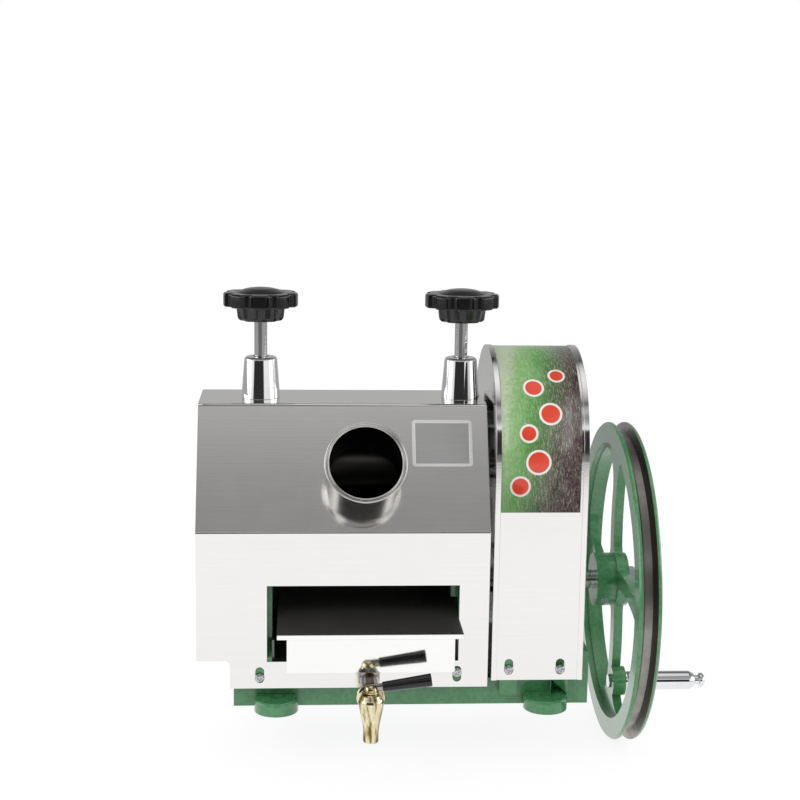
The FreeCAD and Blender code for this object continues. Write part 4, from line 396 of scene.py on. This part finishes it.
for name, axis_x in (("left", LEFT_SCREW_X), ("right", RIGHT_SCREW_X)):
    knob = turned([(345, 0), (345, 19.8, 1.4), (347.6, 21.4, 1), (358.4, 22.6, 0.7), (358.2, 34.5, 1.6),
                   (371, 34.5, 2.2), (371.5, 24.5, 1), (370.7, 22.5, 0.8), (371.8, 21, 0.8), (374.6, 13, 3), (376, 0)],
                  (0, 0, 1), (axis_x, 0, 0), steps=216)
    hollowed(knob, axis_x, 357.7, 371.2, 22.8, 34.5, 37, 6.7)
    hollowed(knob, axis_x, 344, 357.6, 14, 22.6, 29.4, 9.4)
    place(name + "_lobed_knob", knob, [black_bakelite], name + "_screw", "black_bakelite", [name + "_knob"],
          crease=28, edge=0.7)

sleeves = [turned([(273, 7), (273, 18, 0.4), (311, 15, 2.6), (311.3, 8.5, 0.4), (310.4, 7, 0.3)], (0, 0, 1), (x, 0, 0),
                  ring=True) for x in (LEFT_SCREW_X, RIGHT_SCREW_X)]
place("tapered_sleeves", joined(*sleeves), [mirror_chrome], "frame", "bright_chrome", ["screw_cones"])

# Feed tube with its rolled lip: polished outside and on the flare, with painted shade inside
mouth = turned([(-9, TUBE_BORE), (52.4, TUBE_BORE, 0.3), (53.2, 32.4, 0.4), (53, 33.2, 0.3), (51, 33.7, 0.3),
                (52.4, 35.2, 0.4), (53.8, 35.3, 0.5), (54, 36.5, 0.7), (50.8, 36.5, 0.8), (49.4, TUBE_OUTSIDE, 0.6),
                (-9, TUBE_OUTSIDE)], OUT_OF_SLOPE, TUBE_FOOT, steps=144, ring=True)
# The bore's faces take the near-black steel: painted shade for the inside of the tube
for face in mouth.faces:
    middle = face.calc_center_median() - Vector(TUBE_FOOT)
    along = middle.dot(OUT_OF_SLOPE)
    face.material_index = int(along < 51.9 and (middle - OUT_OF_SLOPE * along).length < TUBE_BORE + 0.3)
place("rolled_feed_tube", mouth, [casing_sheet, painted_shade_bore_steel], "frame", "food_steel", ["feed_tube"])

# Small plate on the slope: rounded corners, a raised border and a bare sunken field
plate = bmesh.new()
bmesh.ops.create_grid(plate, x_segments=1, y_segments=1, size=0.5)
bmesh.ops.scale(plate, vec=(PLATE_WIDE, PLATE_HIGH, 1), verts=plate.verts)
bmesh.ops.bevel(plate, geom=plate.verts[:], offset=3, affect="VERTICES", segments=6, profile=0.5, material=-1)
skin = bmesh.ops.extrude_face_region(plate, geom=plate.faces[:])
bmesh.ops.translate(plate, vec=(0, 0, 0.8), verts=[v for v in skin["geom"] if isinstance(v, bmesh.types.BMVert)])
top = max(plate.faces, key=lambda face: face.calc_center_median().z)
bmesh.ops.inset_region(plate, faces=[top], thickness=2.6)
bmesh.ops.inset_region(plate, faces=[top], thickness=0.35, depth=-0.25)
bmesh.ops.recalc_face_normals(plate, faces=plate.faces)
top.material_index = 1
bmesh.ops.transform(plate, verts=plate.verts, matrix=Matrix.Translation(
    Vector((PLATE_X, -FACE, FOLD)) + UP_SLOPE * PLATE_UP)
    @ Matrix(((1, 0, 0), UP_SLOPE, OUT_OF_SLOPE)).transposed().to_4x4())
place("bare_slope_plate", plate, [brushed_plate, satin_field], "frame", "bare_plate", ["label_plate"], edge=0.15)


# Screws, nut and washer

def cross_screw(at, way):
    """A pan-head screw with a sunk cross, standing out of the sheet along its way."""
    head = turned([(-6, 0), (-6, 2.3, 0.4), (0, 2.4), (0, 4.5, 0.3), (1.3, 4.4, 0.9), (2.6, 3.1, 0.9), (2.6, 0)],
                  (0, 0, 1), (0, 0, 0), steps=48)
    for side in ((1, 0, 0), (0, 1, 0)):
        for reach in (-2.3, -0.55, 0.55, 2.3):
            bmesh.ops.bisect_plane(head, geom=head.verts[:] + head.edges[:] + head.faces[:],
                                   plane_co=Vector(side) * reach, plane_no=side)
    arms = []
    for face in head.faces:
        middle = face.calc_center_median()
        near, far = sorted((abs(middle.x), abs(middle.y)))
        if middle.z > 2.55 and near < 0.55 and far < 2.3:
            arms.append(face)
    sunk = bmesh.ops.extrude_face_region(head, geom=arms)
    bmesh.ops.delete(head, geom=arms, context="FACES")
    bmesh.ops.translate(head, vec=(0, 0, -1.1), verts=[v for v in sunk["geom"] if isinstance(v, bmesh.types.BMVert)])
    bmesh.ops.rotate(head, cent=(0, 0, 0), matrix=Matrix.Rotation(math.radians(SCREW_TWIST * len(screws)), 3, "Z"),
                     verts=head.verts)
    bmesh.ops.rotate(head, cent=(0, 0, 0), matrix=Vector((0, 0, 1)).rotation_difference(Vector(way)).to_matrix(),
                     verts=head.verts)
    bmesh.ops.translate(head, vec=at, verts=head.verts)
    bmesh.ops.recalc_face_normals(head, faces=head.faces)
    return head


screws = []
for side in (-1, 1):
    for x, y, z in ((-138, FACE, 31), (41, FACE, 35), (88.7, 91.3, 36.5), (135.9, 91.3, 36.5)):
        screws.append(cross_screw((x, side * y, z), (0, side, 0)))
place("cross_head_screws", joined(*screws), [bright_zinc], "frame", "zinc_fasteners", ["cover_screws"])

nut = turned([(214.5, 8), (214.5, 11.4), (215, 12.7), (221.2, 12.7), (222.5, 10.6), (222.5, 8.6), (222, 8)],
             (1, 0, 0), (0, 0, DRIVE_AXIS), steps=72, ring=True)
for vert in nut.verts:
    up, across = vert.co.z - DRIVE_AXIS, vert.co.y
    radius = math.hypot(up, across)
    flat = 11 / math.cos(math.atan2(up, across) % (math.tau / 6) - math.tau / 12)
    if radius > flat:
        vert.co.y = across * flat / radius
        vert.co.z = DRIVE_AXIS + up * flat / radius
place("chamfered_wheel_nut", nut, [bright_zinc], "drive", "zinc_fasteners", ["wheel_nut"], crease=25, edge=0.2)
washer = turned([(212, 8.2), (212, 14, 0.3), (214.5, 14, 0.6), (214.5, 8.2, 0.3)], (1, 0, 0), (0, 0, DRIVE_AXIS),
                ring=True)
place("turned_wheel_washer", washer, [bright_zinc], "drive", "zinc_fasteners", ["wheel_washer"])

# Crank handle: a flanged pin and the sleeve that turns on it, with a neck and a rounded head
pin = turned([(195.2, 0), (195.2, 6.5, 0.6), (210.7, 8), (210.7, 9, 0.5), (213.7, 9, 0.6), (213.7, 0)],
             (1, 0, 0), (0, CRANK_Y, CRANK_Z))
place("flanged_handle_pin", pin, [mirror_chrome], "drive", "bright_chrome", ["handle_spindle"])
sleeve = turned([(214, 0), (214, 9, 0.9), (274.5, 9, 1.5), (279, 6.4, 0.5), (279.4, 4.6, 0.3), (283.6, 4.6, 0.3),
                 (284.2, 6.8, 0.8), (287.2, 7, 1.3), (289.6, 4.8, 1.4), (290, 0)], (1, 0, 0), (0, CRANK_Y, CRANK_Z))
place("turned_handle_sleeve", sleeve, [mirror_chrome], "grip", "bright_chrome", ["handle_grip"])


# Tap

# Body and its inlet are cast in one, so the two turned shapes melt into each other
body = turned([(-5, 0), (-5, 6.4, 0.9), (-4, 6.9), (8, 6.9, 4), (22, 9.8, 4), (29, 11.2, 2), (33.5, 11.2, 2),
               (37, 9.2, 1), (39.6, 8, 0.8), (39.6, 0)], (0, 0, 1), (TAP_X, TAP_Y, 0))
inlet = turned([(-148.2, 0), (-148.2, 8.6), (-157, 9.2), (-164, 7, 2), (-167, 0)], (0, 1, 0), (TAP_X, 0, TAP_Z))
casting = place("cast_tap_body", joined(body, inlet), [tap_brass], "drawer", "tap_brass", [], crease=180)
melt = casting.modifiers.new("one_casting", "REMESH")
melt.mode = "VOXEL"
melt.voxel_size = 0.0006
melt.use_smooth_shade = True
soften = casting.modifiers.new("cast_fillets", "SMOOTH")
soften.factor = 0.6
soften.iterations = 14
flange = turned([(-145.5, 0), (-145.5, 12.5, 0.4), (-147.5, 12.5, 0.7), (-148.6, 9.6, 0.5), (-149, 0)], (0, 1, 0),
                (TAP_X, 0, TAP_Z))
place("tap_flange", flange, [tap_brass], "drawer", "tap_brass", ["tap_body"])
cap = turned([(39.8, 0), (39.8, 6.2), (40.3, 6.6, 0.3), (41.6, 6.6, 0.4), (42, 5.8, 0.3), (43.2, 6, 0.6),
              (46.8, 4.9, 2), (47.6, 1.2, 0.9), (47.6, 0)], (0, 0, 1), (TAP_X, TAP_Y, 0))
place("tap_cap", cap, [tap_brass], "tap", "tap_brass", [])
LEVER_RISE = math.radians(8)
LEVER_WAY = (math.cos(LEVER_RISE), 0, math.sin(LEVER_RISE))
arm = turned([(2, 0), (2, 4, 0.8), (9.4, 3.6, 0.4), (12, 3.4), (12, 0)], LEVER_WAY, (TAP_X, TAP_Y, LEVER_Z))
bmesh.ops.scale(arm, vec=(1, 0.55, 1), space=Matrix.Translation((0, -TAP_Y, 0)), verts=arm.verts)
place("flat_lever_arm", arm, [pipe_nickel], "tap", "tap_brass", ["tap_plug"])
grip = turned([(9.8, 0), (9.8, 3.2), (10, 4.3, 0.6), (30, 4.9), (52, 5.7, 0.5), (53, 5.4, 0.5), (52.6, 4.4, 0.3),
               (52.2, 0)], LEVER_WAY, (TAP_X, TAP_Y, LEVER_Z))
place("dipped_lever_grip", grip, [black_vinyl], "tap", "black_vinyl", ["lever_sleeve"])


# Printed film over the arch of the gear case

FILM_FOOT, FILM_LEFT, FILM_RIGHT = 184, 74.6, 149.5
ARCH_CENTRE, FILM_RADIUS, FILM_WRAP = 230, 91.5, math.radians(118)
film = bmesh.new()
corners = [film.verts.new((x, -FILM_RADIUS, FILM_FOOT)) for x in (FILM_LEFT, FILM_RIGHT)]
film.edges.new(corners)
rise = bmesh.ops.extrude_edge_only(film, edges=film.edges[:])
top_verts = [v for v in rise["geom"] if isinstance(v, bmesh.types.BMVert)]
bmesh.ops.translate(film, vec=(0, 0, ARCH_CENTRE - FILM_FOOT), verts=top_verts)
top_edge = [e for e in film.edges if all(v in top_verts for v in e.verts)]
bmesh.ops.spin(film, geom=top_verts + top_edge, cent=(0, 0, ARCH_CENTRE), axis=(-1, 0, 0), angle=FILM_WRAP, steps=72)
bmesh.ops.remove_doubles(film, verts=film.verts, dist=0.001)
bmesh.ops.recalc_face_normals(film, faces=film.faces)
print_map = film.loops.layers.uv.new("print")
for face in film.faces:
    if face.normal.dot(face.calc_center_median() - Vector((0, 0, ARCH_CENTRE))) < 0:
        face.normal_flip()
for face in film.faces:
    for loop in face.loops:
        spot = loop.vert.co
        rolled = math.atan2(max(spot.z - ARCH_CENTRE, 0), -spot.y) * FILM_RADIUS
        height = min(spot.z, ARCH_CENTRE) - FILM_FOOT + rolled
        loop[print_map].uv = ((spot.x - FILM_LEFT) / 100, height / 100)
film_piece = place("printed_arch_film", film, [printed_film], "frame", "casing_steel", [])
film_body = film_piece.modifiers.new("film_thickness", "SOLIDIFY")
film_body.thickness = 0.00015
film_body.offset = 0


# Sheet metal and castings, copied from the CAD with the folds and edges that the real ones have

def fold_rounded(work, folds, inner, gauge):
    """Round each fold of a bent sheet: folds are (y, z, half the turn in degrees) of the outside corner."""
    for y, z, half in folds:
        for outside in (True, False):
            radius = inner + gauge if outside else inner
            edges = []
            for edge in work.edges:
                a, b = edge.verts[0].co, edge.verts[1].co
                reach = math.hypot((a.y + b.y) / 2 - y, (a.z + b.z) / 2 - z)
                level = abs(a.x - b.x) > 0.9 * (a - b).length and edge.is_manifold
                if level and (reach < 0.1 if outside else 0.1 < reach < 2 * gauge) and edge.calc_face_angle(0) > 0.1:
                    edges.append(edge)
            if edges:
                bmesh.ops.bevel(work, geom=edges, offset=radius * math.tan(math.radians(half)), affect="EDGES",
                                segments=6, profile=0.5, material=-1)


def rounded_corner(work, x, z, radius):
    """Round the sheet's corner that stands at one place across and up."""
    edges = []
    for edge in work.edges:
        a, b = edge.verts[0].co, edge.verts[1].co
        if max(abs(a.x - x), abs(b.x - x), abs(a.z - z), abs(b.z - z)) < 0.05 and abs(a.y - b.y) > 1:
            edges.append(edge)
    if edges:
        bmesh.ops.bevel(work, geom=edges, offset=radius, affect="EDGES", segments=8, profile=0.5, material=-1)


SLOPE_TURN = math.degrees(math.atan2(FACE - HOOD_EDGE, HOOD - FOLD))
for node, side in (("front_cover", -1), ("rear_cover", 1)):
    sheet = from_cad(node)
    fold_rounded(sheet, [(side * FACE, FOLD, SLOPE_TURN / 2), (side * HOOD_EDGE, HOOD, (90 - SLOPE_TURN) / 2)],
                 BEND, SHEET)
    rounded_corner(sheet, NOTCH_X, NOTCH_Z, NOTCH_ROUND)
    place("folded_" + node, sheet, [casing_sheet], "frame", "casing_steel", [node], crease=30, edge=0.3)
for node, body, finish, slot in (
        ("left_end_cover", "frame", casing_sheet, "casing_steel"),
        ("gear_cover_band", "frame", casing_sheet, "casing_steel"),
        ("gear_cover_left_plate", "frame", casing_sheet, "casing_steel"),
        ("gear_cover_right_plate", "frame", casing_sheet, "casing_steel"),
        ("bagasse_chute", "frame", drawer_sheet, "food_steel"), ("juice_drawer", "drawer", drawer_sheet, "food_steel"),
        # The tray's near-black finish is painted shade
        ("strainer_tray", "tray", painted_shade_tray_finish, "food_steel")):
    sheet = from_cad(node)
    if node == "strainer_tray":
        # The cut front lip is bare steel
        sheet.normal_update()
        for face in sheet.faces:
            face.material_index = int(face.normal.y < -0.9 and face.calc_center_median().y < TRAY_LIP)
    place("edged_" + node, sheet, [finish, drawer_sheet], body, slot, [node], crease=30, edge=0.3)

for node, body, edge in (("base_casting", "frame", 0.8), ("left_cheek", "frame", 1.2), ("right_cheek", "frame", 1.2),
                         ("outer_bracket", "frame", 1.2), ("crank_wheel", "drive", 1.1)):
    casting = from_cad(node)
    if node == "crank_wheel":
        for face in casting.faces:
            middle = face.calc_center_median() - Vector((WHEEL_X, 0, DRIVE_AXIS))
            middle.x = abs(middle.x)
            reach = math.hypot(middle.y, middle.z)
            outward = Vector((0, middle.y, middle.z)).normalized().dot(face.normal) > 0.3
            face.material_index = int(GROOVE_FLOOR < reach < GROOVE_MOUTH and outward and middle.x < GROOVE_HALF)
    if node == "base_casting":
        # The lugs' top rims are rounded wider than the rest
        rims = []
        for rim in casting.edges:
            if all(abs(v.co.z - LUG_TOP) < 0.05
                   and abs(math.hypot(abs(v.co.x) - LUG_X, abs(v.co.y) - LUG_Y) - LUG_RADIUS) < 0.3
                   for v in rim.verts) and rim.is_manifold and rim.calc_face_angle(0) > 0.5:
                rims.append(rim)
        if rims:
            bmesh.ops.bevel(casting, geom=rims, offset=2.4, affect="EDGES", segments=5, profile=0.5, material=-1)
    place("cast_" + node, casting, [hammered_enamel, rubbed_groove], body, "green_enamel", [node],
          crease=30, edge=edge)


# Studio

def stage_object(name, mesh, finish):
    made = bpy.data.objects.new(name, mesh)
    bpy.context.scene.collection.objects.link(made)
    mesh.materials.append(finish)
    return made


def across_screen(tree, x, y):
    """How far a direction or a place lies within the dark screen's width: 1 inside, 0 outside."""
    slew = add(tree, "Math", {0: x, 1: y}, operation="DIVIDE")
    from_middle = add(tree, "Math", {0: slew.outputs[0], 1: SCREEN_MIDDLE}, operation="SUBTRACT")
    off_middle = add(tree, "Math", {0: from_middle.outputs[0]}, operation="ABSOLUTE")
    return add(tree, "MapRange", {
        "Value": off_middle.outputs[0], "From Min": SCREEN_EDGE, "From Max": SCREEN_SOFT}).outputs[0]


studio = bpy.data.worlds.new("studio")
bpy.context.scene.world = studio
studio.use_nodes = True
tree = studio.node_tree
tree.nodes.clear()
path = add(tree, "LightPath", {})
direction = add(tree, "TexCoord", {})
split = add(tree, "SeparateXYZ", {"Vector": direction.outputs["Generated"]})
# What mirrors see: grey bands by height, one set in front of the object and one behind it
height = add(tree, "MapRange", {"Value": split.outputs["Z"], "From Min": -1, "From Max": 1})
sides = []
for bands in (
        ((-0.06, 0.97), (0.45, 0.97), (0.56, 0.4), (0.62, 0.27), (0.66, 0.3), (0.7, 0.5), (0.76, 0.45), (0.82, 0.12),
         (1, 0.06)),
        ((-0.06, 0.46), (0.2, 0.46), (0.35, 0.4), (0.6, 0.25), (0.85, 0.1), (1, 0.06))):
    greys = add(tree, "ValToRGB", {"Fac": height.outputs[0]},
                stops=[((rise + 1) / 2, (grey, grey, grey, 1)) for rise, grey in bands])
    sides.append(greys.outputs[0])
behind = add(tree, "MapRange", {"Value": split.outputs["Y"], "From Min": -0.15, "From Max": 0.15})
walls = add(tree, "Mix", {0: behind.outputs[0], 6: sides[0], 7: sides[1]}, data_type="RGBA")
# A dark screen low in front, which gives the tapered sleeves their dark streak
wide = across_screen(tree, split.outputs["X"], split.outputs["Y"])
from_level = add(tree, "Math", {0: split.outputs["Z"], 1: 0.16}, operation="SUBTRACT")
off_level = add(tree, "Math", {0: from_level.outputs[0]}, operation="ABSOLUTE")
tall = add(tree, "MapRange", {"Value": off_level.outputs[0], "From Min": 0.28, "From Max": 0.24})
ahead_side = add(tree, "Math", {0: 1.0, 1: behind.outputs[0]}, operation="SUBTRACT")
screen = add(tree, "Math", {0: wide, 1: tall.outputs[0]}, operation="MULTIPLY")
screen = add(tree, "Math", {0: screen.outputs[0], 1: ahead_side.outputs[0]}, operation="MULTIPLY")
dark = add(tree, "Mix", {0: screen.outputs[0], 6: walls.outputs[2], 7: (0.03, 0.03, 0.03, 1)}, data_type="RGBA")
# Tall bright strips far out to both sides, which draw thin lines on upright edges
sideways = add(tree, "Math", {0: split.outputs["X"]}, operation="ABSOLUTE")
strip = add(tree, "MapRange", {"Value": sideways.outputs[0], "From Min": 0.86, "From Max": 0.93})
room = add(tree, "Mix", {0: strip.outputs[0], 6: dark.outputs[2], 7: (2.4, 2.4, 2.4, 1)}, data_type="RGBA")
mirrored = add(tree, "Math", {0: path.outputs["Is Glossy Ray"], 1: path.outputs["Is Transmission Ray"]},
               operation="MAXIMUM")
soft = add(tree, "Mix", {0: mirrored.outputs[0], 6: (0.7, 0.7, 0.71, 1), 7: room.outputs[2]}, data_type="RGBA")
seen = add(tree, "Mix", {0: path.outputs["Is Camera Ray"], 6: soft.outputs[2], 7: (1, 1, 1, 1)}, data_type="RGBA")
sky = add(tree, "Background", {"Color": seen.outputs[2], "Strength": 1.0})
add(tree, "OutputWorld", {"Surface": sky.outputs[0]})

# The floor glows a little above white, less where mirrors should see it grey
FLOOR_HALF, FLOOR_GLOW, FLOOR_DIMMING, FLOOR_SHARE, SCREEN_FOOT = 6, 1.1, 0.72, 0.8, 1.45
floor_paint = bpy.data.materials.new("pale_floor")
floor_paint.use_nodes = True
tree = floor_paint.node_tree
tree.nodes.clear()
matt = add(tree, "BsdfDiffuse", {"Color": (0.86, 0.86, 0.86, 1)})
# Mirrors see a white floor in front of the object and a grey one behind it
path = add(tree, "LightPath", {})
spot = add(tree, "TexCoord", {})
depth = add(tree, "SeparateXYZ", {"Vector": spot.outputs["Object"]})
behind = add(tree, "MapRange", {"Value": depth.outputs["Y"], "From Min": 0.25, "From Max": 0.4})
aside = add(tree, "Math", {0: depth.outputs["X"]}, operation="ABSOLUTE")
outside = add(tree, "MapRange", {"Value": aside.outputs[0], "From Min": 0.55, "From Max": 0.75})
behind = add(tree, "Math", {0: behind.outputs[0], 1: outside.outputs[0]}, operation="MAXIMUM")
# Far in front, on the floor too, they see the foot of the dark screen
wide = across_screen(tree, depth.outputs["X"], depth.outputs["Y"])
far = add(tree, "MapRange", {"Value": depth.outputs["Y"], "From Min": -1.25, "From Max": -1.45})
foot = add(tree, "Math", {0: wide, 1: far.outputs[0]}, operation="MULTIPLY")
foot = add(tree, "Math", {0: foot.outputs[0], 1: SCREEN_FOOT}, operation="MULTIPLY")
behind = add(tree, "Math", {0: behind.outputs[0], 1: foot.outputs[0]}, operation="MAXIMUM")
not_seen = add(tree, "Math", {0: 1.0, 1: path.outputs["Is Camera Ray"]}, operation="SUBTRACT")
dimmed = add(tree, "Math", {0: behind.outputs[0], 1: not_seen.outputs[0]}, operation="MULTIPLY")
strength = add(tree, "Math", {0: dimmed.outputs[0], 1: -FLOOR_DIMMING, 2: FLOOR_GLOW}, operation="MULTIPLY_ADD")
glow = add(tree, "Emission", {"Color": (1, 1, 1, 1), "Strength": strength.outputs[0]})
mirrored = add(tree, "Math", {0: path.outputs["Is Glossy Ray"], 1: path.outputs["Is Transmission Ray"]},
               operation="MAXIMUM")
sight = add(tree, "Math", {0: path.outputs["Is Camera Ray"], 1: mirrored.outputs[0]}, operation="MAXIMUM")
share = add(tree, "Math", {0: sight.outputs[0], 1: FLOOR_SHARE}, operation="MULTIPLY")
mixed = add(tree, "MixShader", {0: share.outputs[0], 1: matt.outputs[0], 2: glow.outputs[0]})
add(tree, "OutputMaterial", {"Surface": mixed.outputs[0]})
slab = bmesh.new()
bmesh.ops.create_grid(slab, x_segments=1, y_segments=1, size=FLOOR_HALF)
bmesh.ops.translate(slab, vec=(0, 0, FLOOR_Z / 1000), verts=slab.verts)
floor_mesh = bpy.data.meshes.new("floor")
slab.to_mesh(floor_mesh)
slab.free()
stage_object("floor", floor_mesh, floor_paint)


def lamp(name, at, toward, power, size):
    light = bpy.data.lights.new(name, "AREA")
    light.energy = power
    light.shape = "RECTANGLE"
    light.size, light.size_y = size
    holder = bpy.data.objects.new(name, light)
    bpy.context.scene.collection.objects.link(holder)
    holder.location = at
    holder.rotation_euler = (Vector(toward) - Vector(at)).to_track_quat("-Z", "Y").to_euler()
    holder.visible_glossy = False
    return holder


lamp("key_softbox", (-1.3, -1.5, 1.7), (0, 0, 0.12), 14, (1.2, 1.0))
lamp("fill_softbox", (1.7, -1.2, 0.9), (0, 0, 0.12), 7, (1.0, 1.2))
lamp("back_softbox", (0.2, 1.6, 1.5), (0, 0, 0.15), 9, (1.6, 0.8))

# Camera, fitted to the photo
yaw, pitch, roll = 0.0654, 0.1768, 0.0148
ahead = Vector((math.sin(yaw) * math.cos(pitch), math.cos(yaw) * math.cos(pitch), -math.sin(pitch)))
side = Vector((math.cos(yaw), -math.sin(yaw), 0))
upward = side.cross(ahead)
right = side * math.cos(roll) + upward * math.sin(roll)
upward = upward * math.cos(roll) - side * math.sin(roll)
lens = bpy.data.cameras.new("camera")
lens.sensor_width = 36
lens.lens = 36 * 1586 / 800
lens.clip_start, lens.clip_end = 0.05, 50
camera = bpy.data.objects.new("camera", lens)
bpy.context.scene.collection.objects.link(camera)
camera.matrix_world = (Matrix.Translation((-0.1045, -1.4654, 0.5324))
                       @ Matrix((right, upward, -ahead)).transposed().to_4x4())
bpy.context.scene.camera = camera
bpy.context.scene.view_settings.view_transform = "Standard"
